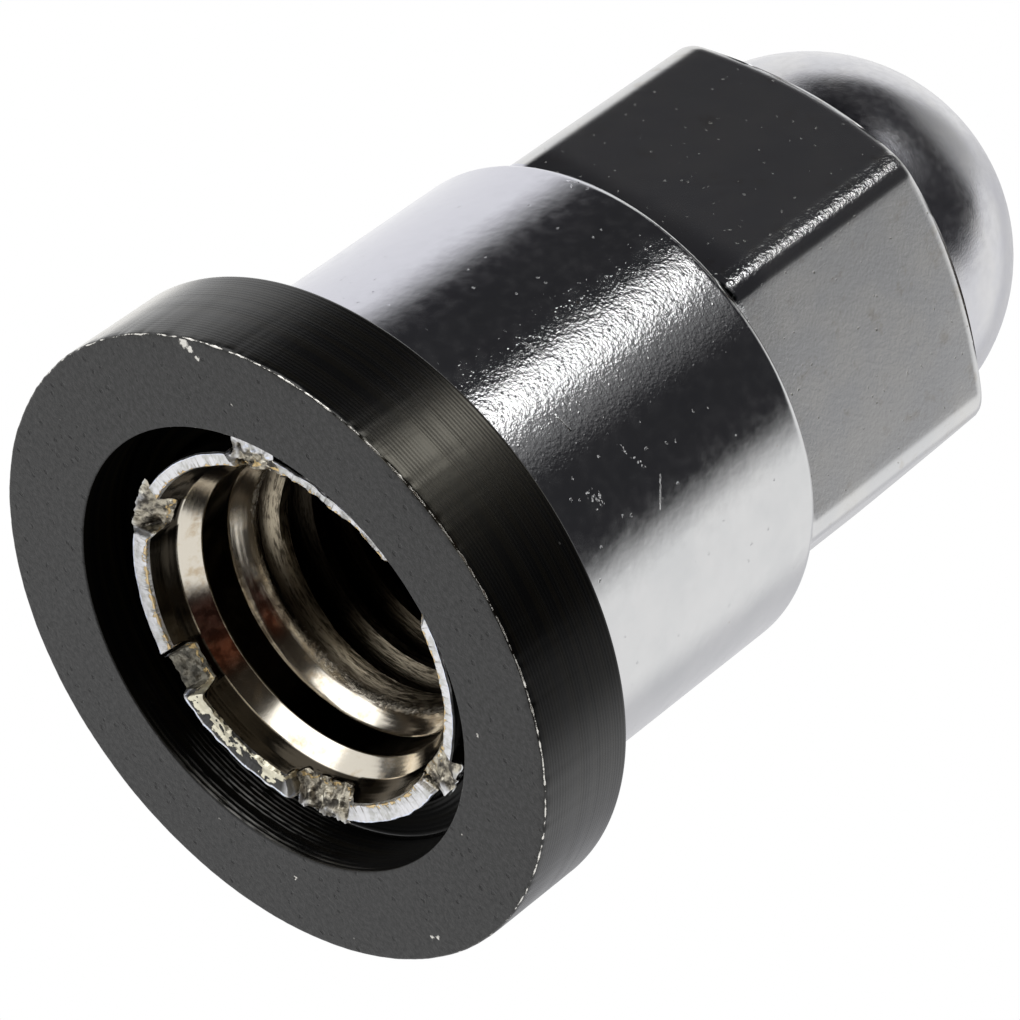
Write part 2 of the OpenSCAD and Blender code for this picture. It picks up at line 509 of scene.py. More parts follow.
class Effects:
    """The effects that more than one finish uses, each built once as a node group."""

    def __init__(self) -> None:
        """Builds every group."""
        self.wall = self.build_wall()
        self.peel = self.build_peel()
        self.turning = self.build_turning()
        self.specks = self.build_specks()
        self.wear = self.build_wear()
        self.scratch = self.build_scratch()
        self.panel = self.build_panel()
        self.disc = self.build_disc()

    def build_wall(self) -> bpy.types.NodeTree:
        """Returns a group that gives a point's azimuth in degrees, and its radius and height."""
        g = EffectGraph("round_place", {"Position": tuple}, {"Round": tuple})
        x, y, z = g.split(g.given[0])
        radius = g.math("SQRT", g.plus(g.times(x, x), g.times(y, y)))
        return g.finish(g.join(g.azimuth(x, y), radius, z))

    def build_peel(self) -> bpy.types.NodeTree:
        """Returns a group that gives the fine waviness of plating as a height."""
        g = EffectGraph("plating_peel", {"Position": tuple, "Size": float}, {"Height": float})
        position, size = g.given
        near = g.noise(position, size, detail=1.0)
        wide = g.noise(position, g.times(size, 3.3), detail=0.0)
        return g.finish(g.blend(0.35, near, wide))

    def build_turning(self) -> bpy.types.NodeTree:
        """Returns a group that gives the fine lines of a turning tool as a height."""
        inputs = {"Along": float, "Azimuth": float, "Pitch": float}
        g = EffectGraph("turning_lines", inputs, {"Height": float})
        along, azimuth, pitch = g.given
        drift = g.times(g.math("SINE", g.times(azimuth, math.tau / HALF_TURN)), 0.02)
        place = g.plus(along, drift)
        wander = g.noise_along(place, g.times(pitch, 6.0), 2.0)
        turn = g.plus(g.math("DIVIDE", place, pitch), g.times(wander, 0.7))
        groove = g.math("MULTIPLY_ADD", g.math("SINE", g.times(turn, math.tau)), 0.5, 0.5)
        fine = g.noise_along(place, g.times(pitch, 0.7), 2.0)
        lines = g.times(groove, g.ease(wander, 0.25, 0.7, 0.25, 1.0))
        return g.finish(g.blend(0.3, lines, fine))

    def build_specks(self) -> bpy.types.NodeTree:
        """Returns a group that scatters small ragged specks as a mask."""
        inputs = {"Position": tuple, "Spacing": float, "Share": float, "Size": float}
        g = EffectGraph("small_specks", inputs, {"Mask": float})
        position, spacing, share, size = g.given
        scale = g.math("DIVIDE", 1.0, spacing)
        cells = g.add("ShaderNodeTexVoronoi", {"Vector": g.shaken(position, 0.25), "Scale": scale})
        chosen = g.math("LESS_THAN", g.split(cells.outputs["Color"])[0], share)
        edge = g.math("DIVIDE", size, spacing)
        spot = g.ease(cells.outputs["Distance"], edge, g.times(edge, 0.55))
        return g.finish(g.times(chosen, spot))

    def build_wear(self) -> bpy.types.NodeTree:
        """Returns a group that breaks up a worn edge into ragged chips as a mask."""
        inputs = {"Position": tuple, "Edge": float, "Size": float, "Amount": float}
        g = EffectGraph("worn_edge", inputs, {"Mask": float})
        position, edge, size, amount = g.given
        chips = g.noise(position, size, detail=4.0, ragged=0.65)
        worn = g.plus(g.times(edge, 0.6), g.plus(chips, g.minus(amount, 0.5)))
        return g.finish(g.times(g.ease(worn, 0.86, 0.98), g.math("GREATER_THAN", edge, 0.02)))

    def build_scratch(self) -> bpy.types.NodeTree:
        """Returns a group that gives one short scratch on a round wall as a mask."""
        inputs = {
            "Round": tuple, "At Azimuth": float, "At Height": float, "Turn": float,
            "Length": float, "Width": float,
        }
        g = EffectGraph("wall_scratch", inputs, {"Mask": float})
        spot, at_azimuth, at_height, turn, length, width = g.given
        azimuth, radius, height = g.split(spot)
        across = g.times(g.math("RADIANS", g.minus(azimuth, at_azimuth)), radius)
        up = g.minus(height, at_height)
        turned = g.math("RADIANS", turn)
        sine, cosine = g.math("SINE", turned), g.math("COSINE", turned)
        along = g.plus(g.times(across, cosine), g.times(up, sine))
        aside = g.minus(g.times(up, cosine), g.times(across, sine))
        wobble = g.times(g.minus(g.noise(spot, 0.6), 0.5), 0.12)
        half = g.times(length, 0.5)
        ends = g.ease(g.size_of(along), half, g.times(half, 0.5))
        body = g.ease(g.size_of(g.plus(aside, wobble)), width, g.times(width, 0.3))
        return g.finish(g.times(ends, body))

    def build_panel(self) -> bpy.types.NodeTree:
        """Returns a group that gives a soft-edged patch of the surroundings as a mask."""
        inputs = {
            "Azimuth": float, "Elevation": float, "At Azimuth": float, "At Elevation": float,
            "Half Width": float, "Half Height": float, "Edge": float,
        }
        g = EffectGraph("soft_panel", inputs, {"Mask": float})
        azimuth, elevation, at_azimuth, at_elevation, half_width, half_height, edge = g.given
        turn = g.size_of(g.math("WRAP", g.minus(azimuth, at_azimuth), HALF_TURN, -HALF_TURN))
        lift = g.size_of(g.minus(elevation, at_elevation))
        half_edge = g.times(edge, 0.5)
        masks = [
            g.ease(away, g.plus(half, half_edge), g.minus(half, half_edge))
            for away, half in ((turn, half_width), (lift, half_height))
        ]
        return g.finish(g.times(*masks))

    def build_disc(self) -> bpy.types.NodeTree:
        """Returns a group that gives a soft-edged round patch of the surroundings as a mask."""
        inputs = {"Direction": tuple, "Toward": tuple, "Radius": float, "Edge": float}
        g = EffectGraph("soft_disc", inputs, {"Mask": float})
        direction, toward, radius, edge = g.given
        values = {0: direction, 1: toward}
        near = g.add("ShaderNodeVectorMath", values, operation="DOT_PRODUCT").outputs["Value"]
        away = g.times(g.math("ARCCOSINE", near), HALF_TURN / math.pi)
        half_edge = g.times(edge, 0.5)
        return g.finish(g.ease(away, g.plus(radius, half_edge), g.minus(radius, half_edge)))


@dataclass(frozen=True)
class Arc:
    """A stretch of azimuth in degrees: its centre, half its width, and the width of its soft ends."""

    centre: float
    half: float
    edge: float

    def mask(self, g: Graph, azimuth: Socket) -> Socket:
        """Returns 1 within the stretch and 0 past its ends."""
        turn = g.math("WRAP", g.minus(azimuth, self.centre), HALF_TURN, -HALF_TURN)
        return g.ease(g.size_of(turn), self.half + self.edge / 2, self.half - self.edge / 2)


@dataclass(frozen=True)
class Grit:
    """Solid noise: its lumps' width and depth in millimetres, its finer layers and how strong they are."""

    size: float
    depth: float = 0.0
    detail: float = 2.0
    ragged: float = 0.5

    def height(self, g: Graph, place: Socket) -> Socket:
        """Returns the noise, from 0 to 1."""
        return g.noise(place, self.size, self.detail, self.ragged)

    def bend(self, g: Graph, place: Socket, normal: Value | None = None) -> Socket:
        """Returns a normal bent by the noise."""
        return g.bump(self.height(g, place), self.depth, normal)


@dataclass(frozen=True)
class Cloud:
    """Patches of solid noise: their width in millimetres, and the levels where they start and are full."""

    size: float
    low: float
    high: float
    detail: float = 4.0
    ragged: float = 0.5

    def mask(self, g: Graph, place: Socket, start: float = 0.0, end: float = 1.0) -> Socket:
        """Returns how far a place lies in a patch, from start to end."""
        return g.ease(g.noise(place, self.size, self.detail, self.ragged), self.low, self.high, start, end)


@dataclass(frozen=True)
class Specks:
    """Small specks: their spacing in millimetres, the share of places that hold one, and their size."""

    spacing: float
    share: float
    size: float

    def mask(self, g: Graph, effects: Effects, place: Socket) -> Socket:
        """Returns where the specks are."""
        values = {"Position": place, "Spacing": self.spacing, "Share": self.share, "Size": self.size}
        return g.group(effects.specks, values).outputs[0]


@dataclass(frozen=True)
class Scratch:
    """A short scratch on the barrel: where it is, how it is turned, and its size in millimetres."""

    azimuth: float
    height: float
    turn: float
    length: float
    width: float = 0.05

    def mask(self, g: Graph, effects: Effects, spot: Socket) -> Socket:
        """Returns where the scratch is."""
        return g.group(effects.scratch, {
            "Round": spot, "At Azimuth": self.azimuth, "At Height": self.height,
            "Turn": self.turn, "Length": self.length, "Width": self.width,
        }).outputs[0]


@dataclass(frozen=True)
class Chip:
    """A place on the washer's seat face where the coat is knocked through to bright steel, in millimetres."""

    azimuth: float
    r: float
    size: float

    def mask(self, g: Graph, shaken: Socket) -> Socket:
        """Returns where the chip is, on a shaken place."""
        turned = math.radians(self.azimuth)
        values = {0: shaken, 1: (self.r * math.cos(turned), self.r * math.sin(turned), 0.0)}
        away = g.add("ShaderNodeVectorMath", values, operation="DISTANCE").outputs["Value"]
        return g.ease(away, self.size, self.size * 0.6)


def new_material(name: str) -> tuple[bpy.types.Material, Graph]:
    """Returns an empty material and its graph."""
    material = bpy.data.materials.new(name)
    material.use_nodes = True
    material.node_tree.nodes.clear()
    return material, Graph(material.node_tree)


@dataclass(frozen=True)
class Surface:
    """What every finish shares.

    Args:
        effects: the shared effects.
        finish: names the material.
        roughness: its plain roughness.
    """

    effects: Effects
    finish: Finish
    roughness: float

    def around(self, spread: Point) -> Point:
        """Returns the plain roughness with each of two differences added to it."""
        return self.roughness + spread[0], self.roughness + spread[1]

    def look(self, g: Graph, place: Socket, spot: Socket) -> Values:
        """Builds the finish's own nodes.

        Args:
            g: the material's graph.
            place: the place on the piece in millimetres.
            spot: that place as an azimuth in degrees, a radius and a height.

        Returns:
            What the shader's inputs take.
        """
        raise NotImplementedError

    def build(self) -> bpy.types.Material:
        """Returns the material."""
        material, g = new_material(self.finish.value)
        place = g.place()
        spot = g.group(self.effects.wall, {"Position": place}).outputs[0]
        shader = g.add("ShaderNodeBsdfPrincipled", self.look(g, place, spot))
        g.add("ShaderNodeOutputMaterial", {"Surface": shader.outputs[0]})
        return material


@dataclass(frozen=True)
class Metal(Surface):
    """What the metallic finishes share.

    Args:
        colour: reflectance of the metal.
        peel: width and depth of the plating's waviness in millimetres.
    """

    colour: Colour = (0.62, 0.62, 0.65)
    peel: Point = (0.3, 0.0022)

    def metal(self, colour: Value, roughness: Value, normal: Value) -> Values:
        """Returns the shader's inputs."""
        return {"Base Color": colour, "Metallic": 1.0, "Roughness": roughness, "Normal": normal}

    def peeled(self, g: Graph, place: Socket) -> Socket:
        """Returns the normal bent by the plating's waviness."""
        size, depth = self.peel
        return g.bump(g.group(self.effects.peel, {"Position": place, "Size": size}).outputs[0], depth)


@dataclass(frozen=True)
class BarrelChrome(Metal):
    """Bright plating on the barrel, grainy along one side, with dings, scratches and clusters of pits, a
    painted bluish reflection on one side, and painted shade beside the rim's bead and where the rim meets the
    hexagon's corner.
    """

    finish: Finish = Finish.BARREL
    roughness: float = 0.13
    peel: Point = (0.4, 0.005)
    clear: Colour = (0.62, 0.625, 0.63)
    milky: Colour = (0.67, 0.67, 0.672)
    # Painted reflection: a bluish tint standing for the bluish light reflected on one side of the barrel.
    bluish_reflection: Colour = (0.62, 0.62, 0.68)
    grimy: Colour = (0.46, 0.38, 0.3)
    bruised: Colour = (0.95, 0.95, 0.95)
    # Painted shade: the near-black colour of the line beside the bead and of the dark mark where the rim
    # meets the hexagon's corner.
    shaded: Colour = (0.004, 0.004, 0.004)
    cloud: Cloud = Cloud(3.0, 0.3, 0.7)
    haze: Cloud = Cloud(0.6, 0.3, 0.75)
    haze_spread: Point = (-0.03, 0.07)
    bluish_reflection_side: Point = (155.0, 132.0)
    grain_rise: Point = (148.0, 170.0)
    grain_fall: Point = (198.0, 178.0)
    grain_shine: float = -0.035
    grain_elsewhere: float = 0.04
    grain: Grit = Grit(0.17, 0.015, 2.5, 0.55)
    dome_size: float = 0.2
    dome_shake: float = 0.2
    waves: Grit = Grit(1.3, 0.012)
    pits: Specks = Specks(0.7, 0.4, 0.08)
    pit_depth: float = 0.012
    grime: Specks = Specks(1.3, 0.25, 0.1)
    bead_height: float = 0.13
    bead_shadow: Point = (-0.3, -0.85)
    bead_shadow_at: Arc = Arc(168.0, 12.0, 14.0)
    scratches: tuple[Scratch, ...] = (
        Scratch(166.9, 11.84, 19.0, 1.5, 0.07),
        Scratch(168.4, 12.2, 60.0, 0.5),
        Scratch(181.8, 10.31, 9.0, 1.0, 0.07),
        Scratch(204.3, 12.85, -31.0, 1.6, 0.045),
        Scratch(139.3, 21.2, 20.0, 0.6, 0.06),
        Scratch(140.2, 20.9, -50.0, 0.35, 0.05),
    )
    scratch_depth: float = 0.05
    scratch_haze: float = 0.15
    clusters: tuple[Scratch, ...] = (
        Scratch(197.4, 9.55, 0.0, 1.05, 0.44),
        Scratch(194.7, 12.3, 25.0, 2.2, 0.13),
    )
    dots: Specks = Specks(0.17, 0.85, 0.066)
    dot_depth: float = 0.02
    dot_haze: float = 0.4
    rim_notch_shade: Scratch = Scratch(180.2, 21.78, 8.0, 1.5, 0.3)

    def masks(self, g: Graph, spot: Socket, marks: Sequence[Scratch]) -> Socket:
        """Returns the mask of several marks together."""
        found: Value = 0.0
        for mark in marks:
            found = g.most(found, mark.mask(g, self.effects, spot))
        return found

    def grains(self, g: Graph, place: Socket) -> Socket:
        """Returns the grain's height: fine noise with low domes of several heights on it."""
        values = {"Vector": g.shaken(place, self.dome_shake), "Scale": 1.0 / self.dome_size}
        cells = g.add("ShaderNodeTexVoronoi", values)
        proud = g.ease(g.split(cells.outputs["Color"])[0], 0.55, 0.85, 0.1, 0.75)
        domes = g.times(g.ease(cells.outputs["Distance"], 0.45, 0.0), proud)
        return g.plus(self.grain.height(g, place), domes)

    def look(self, g: Graph, place: Socket, spot: Socket) -> Values:
        """Returns the shader's inputs."""
        azimuth = g.split(spot)[0]
        grainy = g.times(g.ease(azimuth, *self.grain_rise), g.ease(azimuth, *self.grain_fall))
        marks = self.masks(g, spot, self.scratches)
        bruise = g.ease(self.masks(g, spot, self.clusters), 0.1, 0.4)
        dots = g.times(self.dots.mask(g, self.effects, place), bruise)
        bead = g.edge()
        # Painted shade: a dark line beside the rim's bead over one stretch of azimuth, and a dark mark where
        # the rim meets the hexagon's corner.
        shadow = g.times(g.ease(bead, *self.bead_shadow), self.bead_shadow_at.mask(g, azimuth))
        shadow = g.most(shadow, self.masks(g, spot, (self.rim_notch_shade,)))
        colour = g.tint(self.cloud.mask(g, place), self.clear, self.milky)
        # Painted reflection: one side of the barrel is tinted bluish by azimuth.
        colour = g.tint(g.ease(azimuth, *self.bluish_reflection_side), colour, self.bluish_reflection)
        colour = g.tint(g.times(self.grime.mask(g, self.effects, place), 0.6), colour, self.grimy)
        colour = g.tint(shadow, g.tint(dots, colour, self.bruised), self.shaded)
        rough = self.haze.mask(g, place, *self.around(self.haze_spread))
        rough = g.plus(rough, g.times(marks, self.scratch_haze), g.times(grainy, self.grain_shine))
        rough = g.plus(rough, g.times(dots, self.dot_haze))
        normal = self.waves.bend(g, place, self.peeled(g, place))
        shown = g.ease(grainy, 0.0, 1.0, self.grain_elsewhere, 1.0)
        normal = g.bump(g.times(self.grains(g, place), shown), self.grain.depth, normal)
        normal = g.bump(g.times(self.pits.mask(g, self.effects, place), -1.0), self.pit_depth, normal)
        normal = g.bump(marks, self.scratch_depth, g.bump(dots, self.dot_depth, normal))
        return self.metal(colour, rough, g.bump(g.most(bead, 0.0), self.bead_height, normal))


@dataclass(frozen=True)
class HexagonChrome(Metal):
    """Plating on the forged flats, with faint brush marks across them, stains and fine pits."""

    finish: Finish = Finish.HEXAGON
    roughness: float = 0.22
    clear: Colour = (0.63, 0.633, 0.64)
    milky: Colour = (0.675, 0.67, 0.66)
    stained: Colour = (0.5, 0.46, 0.4)
    pitted: Colour = (0.36, 0.34, 0.3)
    cloud: Cloud = Cloud(2.4, 0.35, 0.7)
    stain: Cloud = Cloud(1.3, 0.56, 0.72, 5.0, 0.65)
    stain_strength: float = 0.4
    brush: Grit = Grit(0.22, 0.0017, 3.0)
    brush_turn: float = 52.0
    brush_stretch: float = 0.15
    brush_haze: float = 0.05
    foot: Point = (22.45, 24.45)
    foot_roughness: float = 0.1
    grit: Grit = Grit(0.14, 0.002)
    pits: Specks = Specks(0.42, 0.4, 0.06)
    pit_depth: float = 0.006
    corner: Point = (11.6, 11.8)
    corner_at: Arc = Arc(174.0, 6.5, 1.5)
    corner_grain: Grit = Grit(0.2, 0.042, 3.0)

    def brushed(self, g: Graph, spot: Socket) -> Socket:
        """Returns the brush marks on every flat, each turned the same way, from 0 to 1."""
        azimuth, radius, height = g.split(spot)
        side = g.times(g.math("FLOOR", g.math("DIVIDE", azimuth, HEX_TURN)), HEX_TURN)
        swing = g.math("RADIANS", g.minus(azimuth, g.plus(side, HEX_TURN / 2)))
        across = g.times(radius, g.math("SINE", swing))
        sine, cosine = math.sin(math.radians(self.brush_turn)), math.cos(math.radians(self.brush_turn))
        aside = g.minus(g.times(height, cosine), g.times(across, sine))
        along = g.plus(g.times(across, cosine), g.times(height, sine))
        return self.brush.height(g, g.join(g.times(along, self.brush_stretch), aside, side))

    def look(self, g: Graph, place: Socket, spot: Socket) -> Values:
        """Returns the shader's inputs."""
        azimuth, radius, height = g.split(spot)
        streak = self.brushed(g, spot)
        pits = self.pits.mask(g, self.effects, place)
        colour = g.tint(self.cloud.mask(g, place), self.clear, self.milky)
        colour = g.tint(self.stain.mask(g, place, 0.0, self.stain_strength), colour, self.stained)
        colour = g.tint(g.times(pits, 0.6), colour, self.pitted)
        rough = g.ease(height, *self.foot, self.foot_roughness, self.roughness)
        rough = g.plus(rough, g.times(g.minus(streak, 0.5), self.brush_haze))
        normal = g.bump(streak, self.brush.depth, self.peeled(g, place))
        normal = self.grit.bend(g, place, normal)
        normal = g.bump(g.times(pits, -1.0), self.pit_depth, normal)
        corner = g.times(g.ease(radius, *self.corner), self.corner_at.mask(g, azimuth))
        grain = g.times(self.corner_grain.height(g, place), corner)
        return self.metal(colour, rough, g.bump(grain, self.corner_grain.depth, normal))


@dataclass(frozen=True)
class DomeChrome(Metal):
    """Satin plating on the acorn end, speckled by its coarser grain, with painted shade in its neck beside
    the hexagon on one side.
    """

    finish: Finish = Finish.DOME
    roughness: float = 0.22
    peel: Point = (0.2, 0.0032)
    milky: Colour = (0.67, 0.665, 0.675)
    # Painted shade: the colour the neck beside the hexagon turns to on one side.
    painted_neck_shade: Colour = (0.12, 0.12, 0.14)
    cloud: Cloud = Cloud(2.0, 0.35, 0.7)
    haze: Cloud = Cloud(0.4, 0.3, 0.75, 3.0)
    haze_spread: Point = (-0.03, 0.05)
    neck: Point = (37.6, 36.2)
    neck_shade_at: Arc = Arc(165.0, 16.0, 14.0)
    neck_shade_strength: float = 0.75
    grit: Grit = Grit(0.1, 0.0028)

    def look(self, g: Graph, place: Socket, spot: Socket) -> Values:
        """Returns the shader's inputs."""
        azimuth, _, height = g.split(spot)
        colour = g.tint(self.cloud.mask(g, place), self.colour, self.milky)
        # Painted shade: the neck is darkened by height and over one stretch of azimuth.
        neck = g.times(g.ease(height, *self.neck), self.neck_shade_at.mask(g, azimuth), self.neck_shade_strength)
        rough = self.haze.mask(g, place, *self.around(self.haze_spread))
        normal = self.grit.bend(g, place, self.peeled(g, place))
        return self.metal(g.tint(neck, colour, self.painted_neck_shade), rough, normal)


@dataclass(frozen=True)
class BoreNickel(Metal):
    """Thin warm plating in the bore's mouth, and the dark torn steel of the thread behind it, with painted
    shade on the mouth wall and relief of the far side, in the thread's grooves and deep in the bore.

    Heights and radii are in millimetres. A pair of them says where something starts and ends.
    """

    finish: Finish = Finish.BORE
    roughness: float = 0.13
    colour: Colour = (0.68, 0.63, 0.54)
    stained: Colour = (0.55, 0.45, 0.32)
    smoked: Colour = (0.1, 0.07, 0.05)
    # Painted shade: near black on the mouth wall, on the far side only.
    mouth: Colour = (0.016, 0.012, 0.007)
    # Painted shade in the far side's relief and in the thread's grooves; also the tone of dark torn patches.
    shade_and_dark_steel: Colour = (0.03, 0.023, 0.016)
    crest: Colour = (0.46, 0.4, 0.3)
    # Painted shade: the crests darken to this deeper in the bore.
    shaded_deep_crest: Colour = (0.16, 0.13, 0.09)
    # Painted shade deep in the bore, over one stretch of azimuth.
    deep_shade: Colour = (0.008, 0.006, 0.004)
    # The side at positive x, whose mouth wall and relief get painted shade.
    far_side: Point = (-3.0, 1.0)
    mouth_end: Point = (2.69, 2.61)
    relief: Point = (3.68, 5.2)
    cone_middles: Point = (3.2, 5.8)
    cone_tilt: float = 0.17
    thread_z: float = 6.5
    flank: Point = (6.25, 6.75)
    smoke: Cloud = Cloud(0.6, 0.36, 0.6, 4.0, 0.6)
    smoke_at: Arc = Arc(20.0, 17.0, 12.0)
    stains: Grit = Grit(0.9, detail=4.0, ragged=0.6)
    speckle: Grit = Grit(0.22, detail=4.0, ragged=0.65)
    speckle_reach: float = 0.7
    tear: Grit = Grit(0.13, 0.04, 4.0, 0.65)
    tear_stretch: float = 0.016
    grit: Grit = Grit(0.3, 0.0015)
    thread_haze: float = 0.16
    stain_haze: float = 0.1
    line_pitch: float = 0.21
    line_depth: float = 0.001
    cone_flat_at: Arc = Arc(12.0, 36.0, 26.0)
    shade_at: Arc = Arc(12.0, 18.0, 34.0)
    deep_shade_at: Arc = Arc(62.0, 72.0, 24.0)

    def thread_colour(self, g: Graph, spot: Socket, torn: Socket) -> Socket:
        """Returns the colour of the thread: worn crests, painted shade in the grooves, at the thread's start
        and deeper in the bore, and dark torn patches.
        """
        azimuth, radius, height = g.split(spot)
        past = g.minus(height, self.thread_z)
        # Painted shade: crests darken with depth, and the grooves and the thread's start go dark; torn
        # patches darken too.
        crest = g.tint(g.ease(past, 1.2, 6.0), self.crest, self.shaded_deep_crest)
        bare = g.tint(g.ease(radius, *self.flank), crest, self.shade_and_dark_steel)
        bare = g.tint(g.times(g.ease(torn, 0.55, 0.38), 0.8), bare, self.shade_and_dark_steel)
        bare = g.tint(g.ease(past, 0.6, 0.2, 0.0, 0.75), bare, self.shade_and_dark_steel)
        # Painted shade deep in the bore and over one side of the thread, by azimuth.
        deep_shade = g.times(g.ease(past, 1.3, 2.0), self.deep_shade_at.mask(g, azimuth), 0.94)
        deep_shade = g.most(deep_shade, g.times(self.shade_at.mask(g, azimuth), 0.8))
        return g.tint(deep_shade, bare, self.deep_shade)

    def look(self, g: Graph, place: Socket, spot: Socket) -> Values:
        """Returns the shader's inputs."""
        azimuth, radius, height = g.split(spot)
        far_side = g.ease(g.split(place)[0], *self.far_side)
        speckle = g.times(g.minus(self.speckle.height(g, place), 0.5), self.speckle_reach)
        in_thread = g.ease(g.plus(height, speckle), self.thread_z - 0.3, self.thread_z + 0.15)
        torn = self.tear.height(g, g.join(g.times(azimuth, self.tear_stretch), radius, height))
        mouth_shaded = g.times(g.ease(height, *self.mouth_end), far_side)
        low, high = self.relief
        in_relief = g.times(g.ease(height, low, low + 0.08), g.ease(height, high + 0.06, high - 0.04))
        stains = self.stains.height(g, place)
        colour = g.tint(g.ease(stains, 0.5, 0.75), self.colour, self.stained)
        smoke = g.times(self.smoke_at.mask(g, azimuth), self.smoke.mask(g, place), 0.75)
        colour = g.tint(smoke, colour, self.smoked)
        # Painted shade on the far side's mouth wall and relief.
        colour = g.tint(g.times(mouth_shaded, 0.975), colour, self.mouth)
        colour = g.tint(g.times(in_relief, far_side, 0.9), colour, self.shade_and_dark_steel)
        colour = g.tint(in_thread, colour, self.thread_colour(g, spot, torn))
        rough = g.plus(g.times(in_thread, self.thread_haze), self.roughness)
        rough = g.plus(rough, g.times(g.ease(stains, 0.5, 0.8), self.stain_haze))
        first, second = self.cone_middles
        upper = g.math("GREATER_THAN", height, (first + second) / 2)
        outside = [g.minus(1.0, mask) for mask in (self.cone_flat_at.mask(g, azimuth), in_relief, in_thread)]
        tilt = g.times(*outside, far_side, self.cone_tilt)
        normal = g.bump(g.times(g.minus(height, g.blend(upper, first, second)), tilt), 1.0)
        values = {"Along": height, "Azimuth": azimuth, "Pitch": self.line_pitch}
        normal = g.bump(g.group(self.effects.turning, values).outputs[0], self.line_depth, normal)
        normal = self.grit.bend(g, place, normal)
        return self.metal(colour, rough, g.bump(g.times(torn, in_thread), self.tear.depth, normal))


@dataclass(frozen=True)
class TornSteel(Metal):
    """Bare steel where the shank's end was sheared: bright on its face, gold inside, brown where punched,
    with a painted dark reflection and a painted bluish edge on part of the face and painted glints on the
    stakes.
    """

    finish: Finish = Finish.TORN
    roughness: float = 0.42
    colour: Colour = (0.82, 0.82, 0.84)
    clean: Colour = (0.62, 0.62, 0.6)
    dragged: Colour = (0.2, 0.17, 0.13)
    # Painted reflection: the near-black colour of the face's middle, where it reflects dark.
    painted_dark_reflection: Colour = (0.03, 0.029, 0.027)
    # Bright torn steel with a painted bluish reflection along the ragged outer edge.
    bluish_reflection: Colour = (0.82, 0.87, 1.0)
    dark_rock: Colour = (0.05, 0.042, 0.03)
    pale_rock: Colour = (0.62, 0.57, 0.46)
    # Painted highlight: the colour of the glinting specks on the stakes.
    painted_glint: Colour = (0.95, 0.9, 0.76)
    darker_stake_colour: Colour = (0.09, 0.085, 0.065)
    gold: Colour = (0.8, 0.6, 0.3)
    pale_gold: Colour = (1.0, 0.95, 0.76)
    darker_stake_at: Arc = Arc(14.0, 10.0, 4.0)
    lumpy_at: Arc = Arc(348.0, 20.5, 4.0)
    hook_at: Arc = Arc(4.5, 4.0, 2.0)
    gilded_at: Arc = Arc(42.0, 20.0, 6.0)
    patch: Cloud = Cloud(0.5, 0.4, 0.65, 3.0, 0.6)
    lumps: Cloud = Cloud(0.9, 0.4, 0.56, 1.0)
    lump_limits: Point = (0.72, -0.25)
    hook_limit: float = -0.4
    gilt_limits: Point = (0.84, 0.6)
    gilt_rise: float = 0.18
    gilt_depth: float = 0.03
    rock: Cloud = Cloud(0.5, 0.38, 0.6, 4.0, 0.62)
    glint_specks: Specks = Specks(0.32, 0.3, 0.13)
    ragged: Grit = Grit(0.24, detail=3.0)
    crumple: Grit = Grit(0.32, 0.035, 4.0, 0.6)
    punched_crumple: float = 2.6
    teeth_end: Point = (1.6, 1.45)
    punched_z: Point = (1.5, 1.66)
    drag: Grit = Grit(0.13, detail=3.0)
    drag_stretch: Point = (0.14, 0.12)
    drag_spread: Point = (-0.1, 0.1)

    def gilt(self, g: Graph, place: Socket, azimuth: Socket, edge: Socket, ragged: Socket) -> Socket:
        """Returns where the plating of the bore was dragged over the rim's inner edge."""
        lumps = self.lumps.mask(g, place, *self.lump_limits)
        lumps = g.blend(self.hook_at.mask(g, azimuth), lumps, self.hook_limit)
        limit = g.blend(self.gilded_at.mask(g, azimuth), *self.gilt_limits)
        limit = g.blend(self.lumpy_at.mask(g, azimuth), limit, lumps)
        return g.ease(g.plus(edge, g.times(ragged, 2.6)), limit, g.plus(limit, self.gilt_rise))

    def rocky(self, g: Graph, place: Socket, azimuth: Socket) -> Socket:
        """Returns the colour of a stake: brown and rocky, with painted glints, and one stake darker."""
        brown = g.tint(self.rock.mask(g, place), self.dark_rock, self.pale_rock)
        # Painted highlight: small glints scattered over the stakes.
        brown = g.tint(self.glint_specks.mask(g, self.effects, place), brown, self.painted_glint)
        # One stake is coloured darker.
        return g.tint(g.times(self.darker_stake_at.mask(g, azimuth), 0.7), brown, self.darker_stake_colour)

    def look(self, g: Graph, place: Socket, spot: Socket) -> Values:
        """Returns the shader's inputs."""
        azimuth, radius, height = g.split(spot)
        edge = g.edge()
        along, aside = self.drag_stretch
        drag = self.drag.height(g, g.join(g.times(azimuth, along), g.times(radius, aside), 0.0))
        ragged = g.minus(self.ragged.height(g, place), 0.5)
        gilt = self.gilt(g, place, azimuth, edge, ragged)
        lumpy = self.lumpy_at.mask(g, azimuth)
        teeth = g.ease(g.minus(g.times(ragged, 1.6), edge), 0.7, 0.9)
        teeth = g.times(teeth, g.ease(height, *self.teeth_end))
        punched = g.times(g.ease(height, *self.punched_z), g.minus(1.0, teeth))
        colour = g.tint(self.patch.mask(g, place), self.colour, self.clean)
        dragged = g.times(g.ease(drag, 0.52, 0.68), g.ease(edge, -0.2, 0.5, 0.15, 0.75))
        colour = g.tint(dragged, colour, self.dragged)
        # Painted reflection: the middle of the face is darkened over the lumpy stretch, leaving its outer
        # edge.
        colour = g.tint(g.times(lumpy, g.ease(edge, -0.75, -0.5), 0.93), colour, self.painted_dark_reflection)
